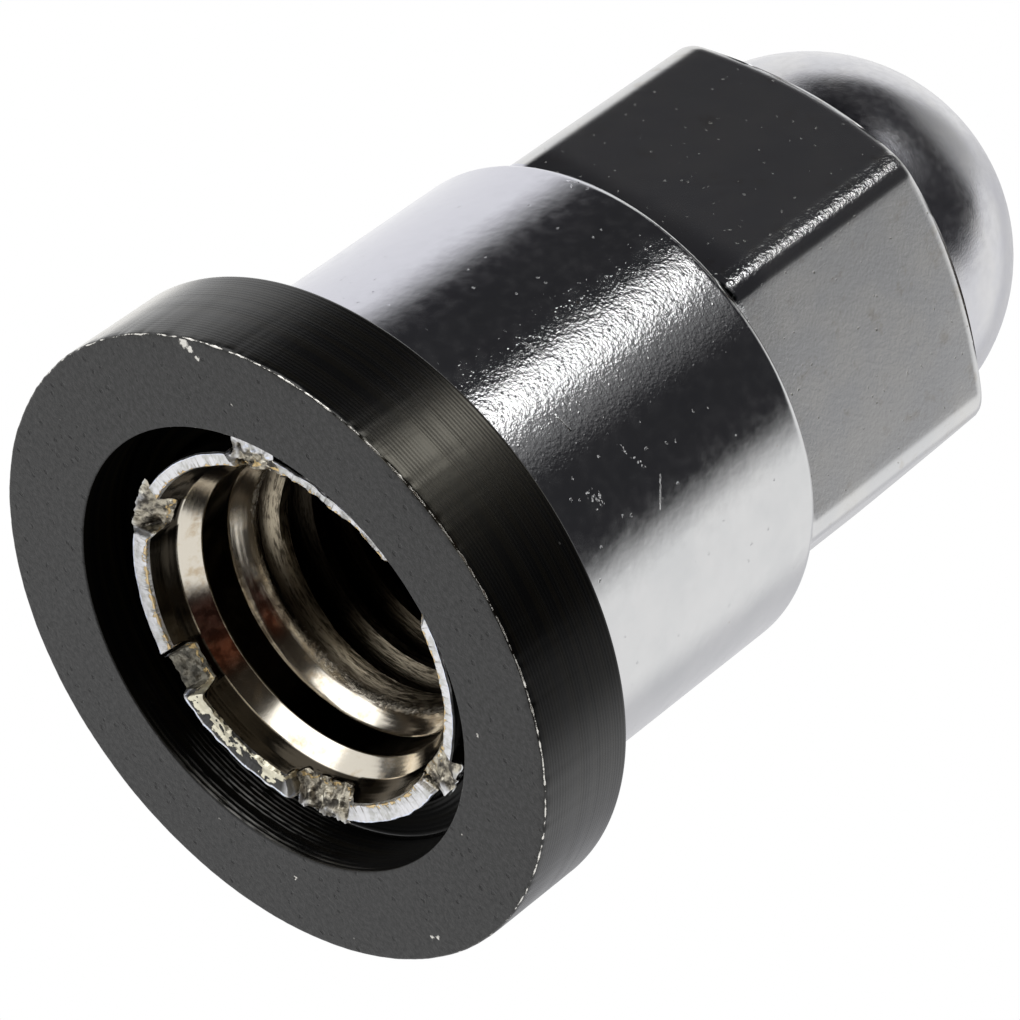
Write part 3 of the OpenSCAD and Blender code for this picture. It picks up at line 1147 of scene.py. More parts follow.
        # Painted reflection: the ragged outer edge, which is bright torn steel, is tinted bluish.
        colour = g.tint(teeth, colour, self.bluish_reflection)
        colour = g.tint(g.times(punched, 0.95), colour, self.rocky(g, place, azimuth))
        colour = g.tint(g.times(gilt, 0.9), colour, g.tint(lumpy, self.gold, self.pale_gold))
        crumpled = g.times(self.crumple.height(g, place), g.blend(punched, 1.0, self.punched_crumple))
        normal = g.bump(gilt, self.gilt_depth, g.bump(crumpled, self.crumple.depth))
        return self.metal(colour, g.ease(drag, 0.3, 0.7, *self.around(self.drag_spread)), normal)


@dataclass(frozen=True)
class BlackOxide(Surface):
    """Black conversion coat on steel, chipped to bright metal along its edges."""

    dark: Colour = (0.0028, 0.0028, 0.0027)
    bare: Colour = (0.78, 0.76, 0.71)
    ior: float = 1.46
    battered_at: Arc = Arc(175.0, 85.0, 60.0)
    wear_size: float = 0.45
    wear: Point = (0.26, 0.37)
    wear_depth: float = 0.03
    flecks: Specks = Specks(1.2, 0.12, 0.07)
    fleck_strength: float = 0.12

    def worn(self, g: Graph, place: Socket, spot: Socket) -> Socket:
        """Returns where bright metal shows through the coat."""
        values = {
            "Position": place, "Edge": g.edge(), "Size": self.wear_size,
            "Amount": g.blend(self.battered_at.mask(g, g.split(spot)[0]), *self.wear),
        }
        edges = g.group(self.effects.wear, values).outputs[0]
        return g.most(edges, g.times(self.flecks.mask(g, self.effects, place), self.fleck_strength))

    def coat(self, g: Graph, place: Socket, spot: Socket) -> Values:
        """Returns the shader's inputs where the coat is whole."""
        raise NotImplementedError

    def look(self, g: Graph, place: Socket, spot: Socket) -> Values:
        """Returns the shader's inputs."""
        # In the side coat this wear mask also holds a painted glare, drawn in the bare metal's colour.
        coat, worn = self.coat(g, place, spot), self.worn(g, place, spot)
        return {
            **coat, "IOR": self.ior, "Metallic": worn,
            "Base Color": g.tint(worn, coat["Base Color"], self.bare),
            "Normal": g.bump(g.times(worn, -1.0), self.wear_depth, coat["Normal"]),
        }


@dataclass(frozen=True)
class SeatFace(BlackOxide):
    """The coat on the washer's seat face: matt, mottled and pitted, with single chips."""

    finish: Finish = Finish.FACE
    roughness: float = 0.42
    dull: Colour = (0.009, 0.009, 0.0091)
    pale: Colour = (0.026, 0.026, 0.0256)
    fleck_strength: float = 0.35
    mottle: Grit = Grit(0.26, 0.04, 5.0, 0.7)
    mottle_levels: Point = (0.3, 0.7)
    mottle_spread: Point = (0.06, -0.04)
    pits: Specks = Specks(0.5, 0.42, 0.14)
    chip_shake: float = 0.35
    chips: tuple[Chip, ...] = (
        Chip(128.0, 14.72, 0.3),
        Chip(129.2, 14.45, 0.2),
        Chip(130.4, 14.1, 0.13),
        Chip(284.0, 14.1, 0.12),
        Chip(285.4, 14.02, 0.1),
        Chip(319.0, 12.0, 0.1),
        Chip(137.0, 12.3, 0.07),
        Chip(256.0, 11.3, 0.09),
        Chip(226.0, 11.5, 0.08),
    )

    def worn(self, g: Graph, place: Socket, spot: Socket) -> Socket:
        """Returns where bright metal shows through the coat, also in the chips."""
        found = super().worn(g, place, spot)
        shaken = g.shaken(place, self.chip_shake)
        for chip in self.chips:
            found = g.most(found, chip.mask(g, shaken))
        return found

    def coat(self, g: Graph, place: Socket, spot: Socket) -> Values:
        """Returns the shader's inputs where the coat is whole."""
        mottle = self.mottle.height(g, place)
        pits = self.pits.mask(g, self.effects, place)
        tone = g.tint(g.ease(mottle, *self.mottle_levels), self.dull, self.pale)
        return {
            "Base Color": g.tint(g.times(pits, 0.85), tone, self.dark),
            "Roughness": g.ease(mottle, *self.mottle_levels, *self.around(self.mottle_spread)),
            "Normal": g.bump(g.minus(mottle, g.times(pits, 0.8)), self.mottle.depth),
        }


@dataclass(frozen=True)
class TurnedCoat(BlackOxide):
    """The coat on a turned surface of the washer, with the fine lines of the tool.

    Args:
        pitch: spacing of the tool's lines in millimetres.
        depth: depth of those lines in millimetres.
    """

    pitch: float = 0.17
    depth: float = 0.0045
    warm: Colour = (0.006, 0.0052, 0.0035)
    grit: Grit = Grit(0.3, 0.003, 3.0)
    band_size: float = 0.5
    band_levels: Point = (0.4, 0.65)
    line_spread: Point = (-0.04, 0.05)
    line_gloss: Point = (1.09, 0.88)
    sheen_at: Arc = Arc(178.5, 15.0, 14.0)
    sheen_tint: Colour = (1.0, 0.95, 0.8)

    def lines(self, g: Graph, spot: Socket) -> Socket:
        """Returns the height of the tool's lines."""
        azimuth, radius, height = g.split(spot)
        values = {"Along": g.plus(height, radius), "Azimuth": azimuth, "Pitch": self.pitch}
        return g.group(self.effects.turning, values).outputs[0]

    def gloss(self, g: Graph, spot: Socket) -> Socket:
        """Returns how strongly the coat shines at each place."""
        raise NotImplementedError

    def coat(self, g: Graph, place: Socket, spot: Socket) -> Values:
        """Returns the shader's inputs where the coat is whole."""
        azimuth, radius, height = g.split(spot)
        lines = self.lines(g, spot)
        bands = g.noise_along(g.plus(height, radius), self.band_size, 2.0)
        return {
            "Base Color": g.tint(g.ease(bands, *self.band_levels), self.dark, self.warm),
            "Roughness": g.ease(lines, 0.2, 0.8, *self.around(self.line_spread)),
            "Normal": self.grit.bend(g, place, g.bump(lines, self.depth)),
            "Specular IOR Level": g.times(self.gloss(g, spot), g.ease(lines, 0.1, 0.9, *self.line_gloss)),
            "Specular Tint": g.tint(self.sheen_at.mask(g, azimuth), (1.0, 1.0, 1.0), self.sheen_tint),
        }


@dataclass(frozen=True)
class SideCoat(TurnedCoat):
    """The coat on the washer's outer side, with a painted glare in bare metal's colour where its lit half
    turns out of sight, and its shine raised and lowered by azimuth as painted highlight and painted shade.

    A pair of facing numbers says where that starts and is full, from 0 face on to 1 edge on.
    """

    finish: Finish = Finish.SIDE
    roughness: float = 0.28
    sheen: Point = (0.5, 1.12)
    shade_at: Arc = Arc(212.0, 14.0, 16.0)
    shade: float = 0.28
    lit_at: Arc = Arc(65.0, 65.0, 40.0)
    grazing: Point = (0.651, 0.914)
    grazing_gloss: float = 3.6
    # Painted highlight: where the lit half turns out of sight, it is drawn as bare bright metal.
    painted_glare: Point = (0.745, 0.928)
    painted_glare_strength: float = 0.9

    def turned_away(self, g: Graph, spot: Socket, facing: Point) -> Socket:
        """Returns how far the lit half turns out of sight, between two facing numbers."""
        weight = g.add("ShaderNodeLayerWeight", {"Blend": 0.5}).outputs["Facing"]
        return g.times(g.ease(weight, *facing), self.lit_at.mask(g, g.split(spot)[0]))

    def worn(self, g: Graph, place: Socket, spot: Socket) -> Socket:
        """Returns where bright metal shows through the coat, together with a painted glare where the lit half
        turns out of sight.
        """
        painted_glare = g.times(self.turned_away(g, spot, self.painted_glare), self.painted_glare_strength)
        return g.most(super().worn(g, place, spot), painted_glare)

    def gloss(self, g: Graph, spot: Socket) -> Socket:
        """Returns how strongly the coat shines at each place."""
        azimuth = g.split(spot)[0]
        # Painted highlight and painted shade: the shine is raised over the sheen's stretch and at the lit
        # half's grazing edge, and lowered over the shaded stretch.
        return g.times(
            g.blend(self.sheen_at.mask(g, azimuth), *self.sheen),
            g.blend(self.shade_at.mask(g, azimuth), 1.0, self.shade),
            g.blend(self.turned_away(g, spot, self.grazing), 1.0, self.grazing_gloss),
        )


@dataclass(frozen=True)
class RecessCoat(TurnedCoat):
    """The coat in the washer's recess, with a shiny wall and broken rings of painted highlight on part of it.
    """

    finish: Finish = Finish.RECESS
    roughness: float = 0.22
    pitch: float = 0.23
    depth: float = 0.011
    wall: Point = (10.54, 10.6)
    wall_gloss: Point = (0.1, 1.2)
    # Painted highlight: the wall shines only over this stretch of azimuth.
    shine_at: Arc = Arc(295.0, 60.0, 50.0)
    ring_highlight_at: Arc = Arc(338.0, 9.0, 30.0)
    ring_highlight_colour: Colour = (0.45, 0.45, 0.43)
    breaks: Cloud = Cloud(0.12, 0.3, 0.6, 2.0)
    break_stretch: float = 0.03

    def gloss(self, g: Graph, spot: Socket) -> Socket:
        """Returns how strongly the coat shines at each place."""
        azimuth, radius, _ = g.split(spot)
        on_wall = g.ease(radius, *self.wall)
        return g.times(g.ease(on_wall, 0.0, 1.0, *self.wall_gloss), self.shine_at.mask(g, azimuth))

    def coat(self, g: Graph, place: Socket, spot: Socket) -> Values:
        """Returns the shader's inputs where the coat is whole."""
        coat = super().coat(g, place, spot)
        azimuth, radius, height = g.split(spot)
        broken = self.breaks.mask(g, g.join(g.times(azimuth, self.break_stretch), height, 0.0))
        # Painted highlight: broken light rings on the wall's turned lines, over one stretch of azimuth.
        rings = g.times(broken, g.ease(self.lines(g, spot), 0.3, 0.75))
        rings = g.times(g.ease(radius, *self.wall), self.ring_highlight_at.mask(g, azimuth), rings)
        return {**coat, "Base Color": g.tint(rings, coat["Base Color"], self.ring_highlight_colour)}


class Station(Enum):
    """The named stations of the rim's outline, from the bore's crease round to the shank's outer wall."""

    CREASE = 0
    BULGE = 1
    WALL = 2
    INNER = 3
    MIDDLE = 4
    OUTER = 5
    FLARE = 6
    SKIRT = 7
    SHANK = 8


@dataclass(frozen=True)
class Lip:
    """One stretch of the sheared end face, in degrees and millimetres.

    Args:
        start: azimuth where it begins.
        end: azimuth where it ends.
        inner: radius of its inner edge.
        outer: radius of its outer edge.
        tear: how ragged its edges are.
        dip: how far its middle lies deeper than its edges.
        slope: how far its outer edge lies deeper than its inner edge.
    """

    start: float
    end: float
    inner: float
    outer: float
    tear: float = 0.04
    dip: float = 0.0
    slope: float = 0.0

    def weight(self, azimuth: float, blend: float) -> float:
        """Returns how much the stretch counts at an azimuth, with soft ends of the given width."""
        half = (self.end - self.start) / 2
        away = abs(turn_between(azimuth, self.start + half))
        return smooth_step(half + blend / 2, half - blend / 2, away)

    def outline(self, face_z: float, crease: Point, shank_r: float) -> list[Point]:
        """Returns the radius and height of every station."""
        middle = (self.inner + self.outer) / 2
        return [
            crease,
            (crease[0] + 0.6 * (self.inner - crease[0]), crease[1] - 0.5 * (crease[1] - face_z)),
            (self.inner - 0.02, face_z + 0.16),
            (self.inner + 0.03, face_z + 0.01),
            (middle, face_z + self.dip + self.slope / 2),
            (self.outer - 0.05, face_z + self.slope),
            (self.outer, face_z + self.slope + 0.1),
            (shank_r + (self.outer - shank_r) * 0.3, face_z + 0.8),
            (shank_r, crease[1]),
        ]


@dataclass(frozen=True)
class Stake:
    """One place where the punch split the rim and pushed it out over the washer.

    Args:
        start: azimuth where the stake begins.
        end: azimuth where it ends.
        reach: radius of its ragged outer ridge.
        ridge_z: height of that ridge.
        facet: how deep the punched facet starts at its inner side.
        skew: how many degrees its sides lean from the inner to the outer edge.
        crack: which side is torn open, -1 for the start, 1 for the end, 0 for neither.
        tear: how ragged the ridge is.
        hook: how far the torn rim just before the stake is bent inwards.
    """

    start: float
    end: float
    reach: float
    ridge_z: float = 1.7
    facet: float = 2.2
    skew: float = 2.0
    crack: int = 0
    tear: float = 0.14
    hook: float = 0.0

    @property
    def centre(self) -> float:
        """Azimuth of the stake's middle."""
        return (self.start + self.end) / 2

    def across(self, azimuth: float) -> float:
        """Returns the place across the stake: -1 at its start and 1 at its end."""
        return turn_between(azimuth, self.centre) / ((self.end - self.start) / 2)

    def grip(self, azimuth: float, share: float) -> float:
        """Returns how far the stake moves the rim.

        Args:
            azimuth: azimuth on the rim.
            share: from 0 at the bore to 1 at the outer wall.

        Returns:
            A share from 0 to 1.
        """
        leant = azimuth + self.skew * (share - 0.5) * math.copysign(1.0, turn_between(azimuth, self.centre))
        away = abs(self.across(leant))
        soft = 0.2 * (1.0 - share)
        return smooth_step(1.07 + soft, 0.95 - soft, away)

    def gap(self, azimuth: float, share: float) -> float:
        """Returns the depth of the torn gap beside the stake, from 0 to 1."""
        if self.crack == 0:
            return 0.0
        leant = azimuth + self.skew * (share - 0.5)
        away = abs(self.across(leant) - self.crack * 1.1)
        return smooth_step(0.1, 0.03, away)

    def hooked(self, azimuth: float, station: float) -> float:
        """Returns how far the rim beside the stake is bent inwards at an azimuth and a station."""
        before = turn_between(self.start, azimuth)
        near = smooth_step(4.5, 0.5, before) * smooth_step(-0.4, 0.2, before)
        return self.hook * near * smooth_step(1.6, 2.8, station) * smooth_step(5.2, 3.4, station)

    def outline(self, crease: Point, shank_r: float) -> list[Point]:
        """Returns the radius and height of every station."""
        inner, span = crease[0] + 0.22, self.reach - crease[0] - 0.22
        climb = self.ridge_z - self.facet
        return [
            crease,
            (crease[0] + 0.1, (crease[1] + self.facet) / 2 + 0.04),
            (inner - 0.04, self.facet + 0.05),
            (inner + 0.06 * span, self.facet + 0.02 * climb),
            (inner + 0.33 * span, self.facet + 0.3 * climb),
            (inner + 0.66 * span, self.facet + 0.75 * climb),
            (self.reach - 0.08, self.ridge_z),
            (self.reach, self.ridge_z + 0.1),
            (shank_r + (self.reach - shank_r) * 0.45, max(2.35, self.ridge_z + 0.4)),
            (shank_r + 0.02, crease[1] + 0.05),
        ]


@dataclass(frozen=True)
class StakedRim:
    """The shank's end inside the washer's recess: a sheared ring, split and punched outwards six times."""

    lip_z: float = 1.25
    crease: Point = (7.64, 2.70)
    shank_r: float = 8.8
    recess_z: float = 2.95
    lip_blend: float = 12.0
    gap_depth: float = 0.8
    steps: int = 1440
    bands: Sequence[int] = (6, 6, 3, 9, 9, 4, 5, 3)
    tuck: Sequence[Point] = ((8.62, 2.95), (8.6, 3.25), (7.98, 3.25), (7.92, 2.95))
    lips: tuple[Lip, ...] = (
        Lip(-36.0, 21.0, 8.02, 9.02, 0.11, 0.05, -0.08),
        Lip(21.0, 72.0, 8.08, 8.93, 0.03),
        Lip(72.0, 132.0, 8.2, 8.8, 0.05),
        Lip(132.0, 165.0, 8.56, 9.08, 0.12, 0.08, -0.03),
        Lip(165.0, 190.0, 8.74, 9.08, 0.07, 0.05, -0.03),
        Lip(190.0, 252.0, 8.52, 9.04, 0.05),
        Lip(252.0, 324.0, 8.12, 8.98, 0.08, 0.03),
    )
    stakes: tuple[Stake, ...] = (
        Stake(8.0, 21.0, 9.3, 1.75, 2.35, 2.0, 1, 0.12, 0.5),
        Stake(63.5, 80.5, 9.35, 1.6, 2.35, -2.5, 0, 0.14),
        Stake(124.5, 141.0, 9.7, 1.4, 1.95, 2.0, -1, 0.24),
        Stake(184.0, 201.0, 9.5, 1.7, 2.25, 2.0, 0, 0.12),
        Stake(247.0, 262.5, 9.5, 1.55, 2.3, 2.0, 1, 0.16),
        Stake(304.5, 325.0, 9.4, 1.6, 2.2, 3.0, 1, 0.26),
    )

    def rows(self) -> list[Row]:
        """Returns the ring's rows, band by band, and its tucked root."""
        rows: list[Row] = []
        for station, count in enumerate(self.bands):
            if station < Station.WALL.value:
                finish = Finish.BORE
            elif station < Station.FLARE.value:
                finish = Finish.TORN
            else:
                finish = Finish.BARREL
            for k in range(count):
                at = station + k / count
                rows.append(Row(self.placer(at), finish, self.edge(at)))
        rows.append(Row(self.placer(float(len(self.bands))), Finish.BORE))
        rows.extend(level(r, z, Finish.BORE) for r, z in self.tuck)
        return rows

    def edge(self, station: float) -> float:
        """Returns how far a row lies on the ring's edges: 1 on the inner one, -1 on the outer one."""
        inner = max(0.0, 1.0 - abs(station - Station.INNER.value) / 0.95)
        outer = max(0.0, 1.0 - abs(station - Station.OUTER.value) / 0.5)
        return inner - outer

    def placer(self, station: float) -> Callable[[float], Point]:
        """Gives one row's place on the rim.

        Args:
            station: where the row lies along the outline; a whole number is a named station.

        Returns:
            A function from an azimuth to a radius and a height.
        """
        low = min(int(station), len(self.bands) - 1)
        part = station - low
        share = smooth_step(Station.WALL.value, Station.FLARE.value, station)

        def on(outline: Sequence[Point]) -> Vector:
            """Returns the row's point on an outline."""
            return Vector(outline[low]).lerp(Vector(outline[low + 1]), part)

        lips = [(lip, on(lip.outline(self.lip_z, self.crease, self.shank_r))) for lip in self.lips]
        stakes = [(stake, on(stake.outline(self.crease, self.shank_r))) for stake in self.stakes]

        def place(azimuth: float) -> Point:
            """Returns the row's radius and height at an azimuth."""
            weights = [lip.weight(azimuth, self.lip_blend) for lip, _ in lips]
            total = sum(weights)
            spots = (spot * weight for (_, spot), weight in zip(lips, weights))
            point = sum(spots, Vector((0.0, 0.0))) / total
            tear = sum(lip.tear * weight for (lip, _), weight in zip(lips, weights)) / total
            grips = 0.0
            for stake, spot in stakes:
                point.x -= stake.hooked(azimuth, station)
                grip = stake.grip(azimuth + 0.5 * self.rough(azimuth, 31.0, 0.3), share)
                if grip > 0.0:
                    point = point.lerp(spot, grip)
                    tear += (stake.tear - tear) * grip
                    grips = grip
                gap = stake.gap(azimuth, share)
                if gap > 0.0:
                    near = smooth_step(1.4, 2.6, station) * smooth_step(7.5, 5.5, station)
                    point.y += gap * self.gap_depth * near
            return self.torn(azimuth, station, point, tear, grips)

        return place

    def rough(self, azimuth: float, seed: float, size: float) -> float:
        """Returns noise along the rim, from about -1 to 1."""
        turned = math.radians(azimuth)
        return lump(8.6 * math.cos(turned), 8.6 * math.sin(turned), seed, size)

    def torn(self, azimuth: float, station: float, point: Vector, tear: float, grip: float) -> Point:
        """Makes the edges of the rim ragged.

        Args:
            azimuth: azimuth on the rim.
            station: where the row lies along the outline.
            point: its radius and height before.
            tear: how ragged the rim is here, in millimetres.
            grip: how far a stake has it, from 0 to 1.

        Returns:
            Its radius and height after.
        """
        inner = max(0.0, 1.0 - abs(station - Station.INNER.value) / 0.9) * (1.0 - 0.4 * grip)
        outer = max(0.0, 1.0 - abs(station - Station.OUTER.value - 0.4) / 1.3)
        face = smooth_step(1.5, 2.5, station) * smooth_step(7.6, 6.0, station)
        teeth = 1.1 * self.rough(azimuth, 3.0, 1.3) + 9.0 * tear * self.rough(azimuth, 5.0, 0.33)
        bite = self.rough(azimuth, 9.0, 0.9) + 0.35 * self.rough(azimuth, 12.0, 0.28)
        r, z = point
        r += inner * tear * teeth + outer * tear * bite
        z -= inner * tear * abs(self.rough(azimuth, 15.0, 0.7)) * 0.9
        z += outer * tear * self.rough(azimuth, 18.0, 0.6) * 0.8
        turned = math.radians(azimuth)
        x, y = r * math.cos(turned), r * math.sin(turned)
        crumple = lump(x, y, z + 40.0, 0.8) + 0.35 * lump(x, y, z + 60.0, 0.25)
        rock = lump(x, y, z + 70.0, 0.42) + 0.4 * lump(x, y, z + 80.0, 0.18)
        z += face * (crumple * (0.01 + 0.15 * tear) + 0.9 * tear * grip * rock)
        r += face * 0.7 * tear * grip * lump(x, y, z + 90.0, 0.42)
        return r, min(z, self.recess_z - 0.12) if r > self.shank_r + 0.05 else z

    def build(self, finishes: Mapping[Finish, bpy.types.Material]) -> bpy.types.Object:
        """Returns the ring, covered with the given finishes."""
        lathe = Lathe(self.steps)
        lathe.turn(self.rows(), closed=True)
        piece = lathe.mesh("staked_rim", finishes)
        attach(piece, "nut")
        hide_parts("nut_body")
        return piece


@dataclass(frozen=True)
class NutShell:
    """The nut's turned and forged body: shoulder, barrel, hexagon, dome, and the bore with its thread.

    Lengths are in millimetres. The barrel's top and the hexagon's top are worked out from them. The
    thread's depth is a share of its pitch.
    """

    top_z: float
    shoulder_z: float
    shank_r: float = 8.8
    barrel_r: float = 12.15
    barrel_l: float = 16.6
    foot: float = 0.5
    rim_r: float = 0.6
    hex_af: float = 21.0
    corner_r: float = 1.4
    chamfer: float = 30.0
    chamfer_land: float = 0.05
    corner_fillet: float = 0.14
    edge_round: float = 0.07
    dome_r: float = 9.35
    dome_neck: float = 1.8
    neck_fillet: float = 0.35
    crease: Point = (7.64, 2.70)
    sink_angle: float = 30.0
    relief_r: float = 7.1
    relief_l: float = 1.6
    thread_d: float = 14.0
    pitch: float = 2.0
    thread_l: float = 25.0
    thread_phase: float = 0.56
    thread_depth: float = 0.54125
    thread_fade: Point = (0.6, 2.1)
    thread_blend: float = 0.25
    sink_blend: float = 0.1
    drill_point: float = 118.0
    steps: int = 360
    corner_steps: int = 14
    dome_rows: int = 30
    rim_rows: int = 5
    bead_at: float = 0.43
    bead_half: float = 0.09
    bead_rows: int = 8
    side_rows: Sequence[float] = (0.0, 0.02, 0.25, 0.5, 0.75, 0.965, 0.98, 0.99, 1.0)

    @property
    def hex_top_z(self) -> float:
        """Height of the hexagon's end face."""
        return self.top_z - self.dome_r - self.dome_neck

    @property
    def rim_z(self) -> float:
        """Height of the barrel's far end."""
        return self.shoulder_z + self.barrel_l

    @property
    def corner_at(self) -> float:
        """Distance from the axis to the centre of a rounded corner."""
        return (self.hex_af / 2 - self.corner_r) / math.cos(math.pi / 6)

    @property
    def corner_span(self) -> float:
        """Half the azimuth that a rounded corner takes up, in degrees."""
        away = self.corner_at + self.corner_r * math.cos(math.pi / 6)
        return math.degrees(math.atan2(self.corner_r * math.sin(math.pi / 6), away))

    @property
    def minor_r(self) -> float:
        """Radius of the thread's crests."""
        return self.thread_d / 2 - self.thread_depth * self.pitch

    @property
    def relief_z(self) -> float:
        """Height where the plain bore starts."""
        return self.crease[1] + (self.crease[0] - self.relief_r) / math.tan(math.radians(self.sink_angle))

    @property
    def thread_sink_z(self) -> float:
        """Height where the second countersink starts."""
        return self.relief_z + self.relief_l

    @property
    def thread_end_z(self) -> float:
        """Height where the drilled hole ends."""
        return self.thread_sink_z + self.thread_l

    def spread(self, azimuth: float) -> float:
        """Gathers the columns at the hexagon's corners.

        Args:
            azimuth: an evenly spaced azimuth.

        Returns:
            The azimuth of that column.
        """
        corner = round(azimuth / HEX_TURN) * HEX_TURN
        away = azimuth - corner
        taken = self.corner_steps / 2 * FULL_TURN / self.steps
        span = self.corner_span
        if abs(away) <= taken:
            return corner + away / taken * span
        moved = span + (abs(away) - taken) / (HEX_TURN / 2 - taken) * (HEX_TURN / 2 - span)
        return corner + math.copysign(moved, away)

    def hex_r(self, azimuth: float) -> float:
        """Returns the hexagon's radius at an azimuth."""
        away = abs(turn_between(azimuth, round(azimuth / HEX_TURN) * HEX_TURN))
        if away <= self.corner_span:
            turned = math.radians(away)
            side = self.corner_at * math.sin(turned)
            return self.corner_at * math.cos(turned) + math.sqrt(self.corner_r ** 2 - side * side)
        return self.hex_af / 2 / math.cos(math.radians(HEX_TURN / 2 - away))

    def rim_at(self, length: float) -> Point:
        """Returns the point of the barrel's rim at a length from where its round starts."""
        arc = self.rim_r * math.pi / 2
        centre_r, centre_z = self.barrel_r - self.rim_r, self.rim_z - self.rim_r
        if length <= arc:
            turned = length / self.rim_r
            return centre_r + self.rim_r * math.cos(turned), centre_z + self.rim_r * math.sin(turned)
        return centre_r - (length - arc), self.rim_z

    def rim_length(self, r: float) -> float:
        """Returns the length along the rim at which it has a radius."""
        centre_r = self.barrel_r - self.rim_r
        if r < centre_r:
            return self.rim_r * math.pi / 2 + centre_r - r
        return self.rim_r * math.acos(min(1.0, (r - centre_r) / self.rim_r))

    def chamfer_z(self, r: float) -> float:
        """Returns the height of the turned chamfer on the hexagon at a radius."""
        start = self.hex_af / 2 - self.chamfer_land
        return self.hex_top_z - max(0.0, r - start) * math.tan(math.radians(self.chamfer))

    def rim_row(self, stretch: int, share: float) -> Row:
        """Gives a row of the barrel's rim.

        Args:
            stretch: 0 before the bead, 1 on the bead, 2 from the bead to the hexagon's foot.
            share: how far along that stretch the row lies, from 0 to 1.

        Returns:
            The row.
        """
        def place(azimuth: float) -> Point:
            """Returns the row's place at an azimuth."""
            end = self.rim_length(self.hex_r(azimuth) + self.corner_fillet)
            bead = min(self.bead_at, end - self.bead_half - 0.02)
            marks = (0.0, bead - self.bead_half, bead + self.bead_half, end)
            return self.rim_at(marks[stretch] + share * (marks[stretch + 1] - marks[stretch]))

        beside = -math.sin(math.pi * max(0.0, 2.0 * share - 1.0)) if stretch == 0 else 0.0
        return Row(place, Finish.BARREL, math.sin(math.pi * share) if stretch == 1 else beside)

    def foot_row(self, share: float) -> Row:
        """Returns a row of the small fillet between the rim and the hexagon, from 0 to 1."""
        def place(azimuth: float) -> Point:
            """Returns the row's place at an azimuth."""
            r = self.hex_r(azimuth)
            start_r, start_z = self.rim_at(self.rim_length(r + self.corner_fillet))
            end_z = self.rim_at(self.rim_length(r))[1] + self.corner_fillet
            turned = share * math.pi / 2
            return (r + (start_r - r) * (1.0 - math.sin(turned)),
                    start_z + (end_z - start_z) * (1.0 - math.cos(turned)))

        return Row(place, Finish.BARREL)

    def side_row(self, share: float) -> Row:
        """Returns a row of the hexagon's sides, from 0 at the foot to 1 at the chamfer."""
        def place(azimuth: float) -> Point:
            """Returns the row's place at an azimuth."""
            r = self.hex_r(azimuth)
            low = self.rim_at(self.rim_length(r))[1] + self.corner_fillet
            z = low + (self.chamfer_z(r) - low) * share
            return r - self.edge_round * smooth_step(0.97, 1.0, share) ** 2, z

        return Row(place, Finish.HEXAGON)

    def chamfer_row(self, share: float) -> Row:
        """Returns a row of the chamfer, from 0 at the sides to 1 at the end face."""
        def place(azimuth: float) -> Point:
            """Returns the row's place at an azimuth."""
            r = self.hex_r(azimuth)
            r += (self.hex_af / 2 - self.chamfer_land - 0.1 - r) * share
            return r, self.chamfer_z(r)

        return Row(place, Finish.HEXAGON)

    def outer_rows(self) -> list[Row]:
        """Returns the rows from the bore's crease over the outside to the dome's pole."""
        crease_r, crease_z = self.crease
        rows = [level(crease_r, crease_z, Finish.BORE), level(self.shank_r, crease_z, Finish.BARREL)]
        rows += rounded([
            Corner(self.shank_r, crease_z),
            Corner(self.shank_r, self.shoulder_z, 0.1),
            Corner(self.barrel_r - self.foot, self.shoulder_z, 0.12),
            Corner(self.barrel_r, self.shoulder_z + self.foot, 0.3),
            Corner(self.barrel_r, self.rim_z - self.rim_r - 0.1),
        ], closed=False)[1:]
        for stretch, count in enumerate((self.rim_rows, self.bead_rows, self.rim_rows)):
            rows += [self.rim_row(stretch, k / count) for k in range(count)]
        rows += [self.foot_row(k / 4) for k in range(5)]
        rows += [self.side_row(share) for share in self.side_rows[1:]]
        rows += [self.chamfer_row(share) for share in (0.08, 0.14, 0.5, 0.9, 1.0)]
        rows += rounded([
            Corner(self.hex_af / 2 - 0.3, self.hex_top_z, finish=Finish.HEXAGON),
            Corner(self.dome_r, self.hex_top_z, self.neck_fillet, finish=Finish.DOME),
            Corner(self.dome_r, self.top_z - self.dome_r, finish=Finish.DOME),
        ], closed=False)
        for k in range(1, self.dome_rows + 1):
            turned = k / self.dome_rows * math.pi / 2
            r = self.dome_r * math.cos(turned) if k < self.dome_rows else 0.0
            rows.append(level(r, self.top_z - self.dome_r + self.dome_r * math.sin(turned), Finish.DOME))
        return rows

    def bore_rows(self) -> list[Row]:
        """Returns the rows from the bore's crease to the second countersink."""
        crease_r, crease_z = self.crease
        slope = math.tan(math.radians(self.sink_angle))
        rows = rounded([
            Corner(crease_r, crease_z, finish=Finish.BORE),
            Corner(crease_r - 0.04 * slope, crease_z + 0.04, finish=Finish.BORE),
            Corner(crease_r - 0.5 * slope, crease_z + 0.5, finish=Finish.BORE),
            Corner(self.relief_r, self.relief_z, 0.12, finish=Finish.BORE),
            Corner(self.relief_r, self.thread_sink_z - 0.5, finish=Finish.BORE),
        ], closed=False)
        for below in (0.3, 0.15, 0.08, 0.0):
            z = self.thread_sink_z - below
            rows.append(level(self.sink_r(z), z, Finish.BORE))
        return rows

    def sink_r(self, z: float) -> float:
        """Returns the radius of the plain bore and the second countersink, softly joined."""
        past = z - self.thread_sink_z
        eased = (math.hypot(past, self.sink_blend) + past) / 2
        return self.relief_r - eased * math.tan(math.radians(self.sink_angle))

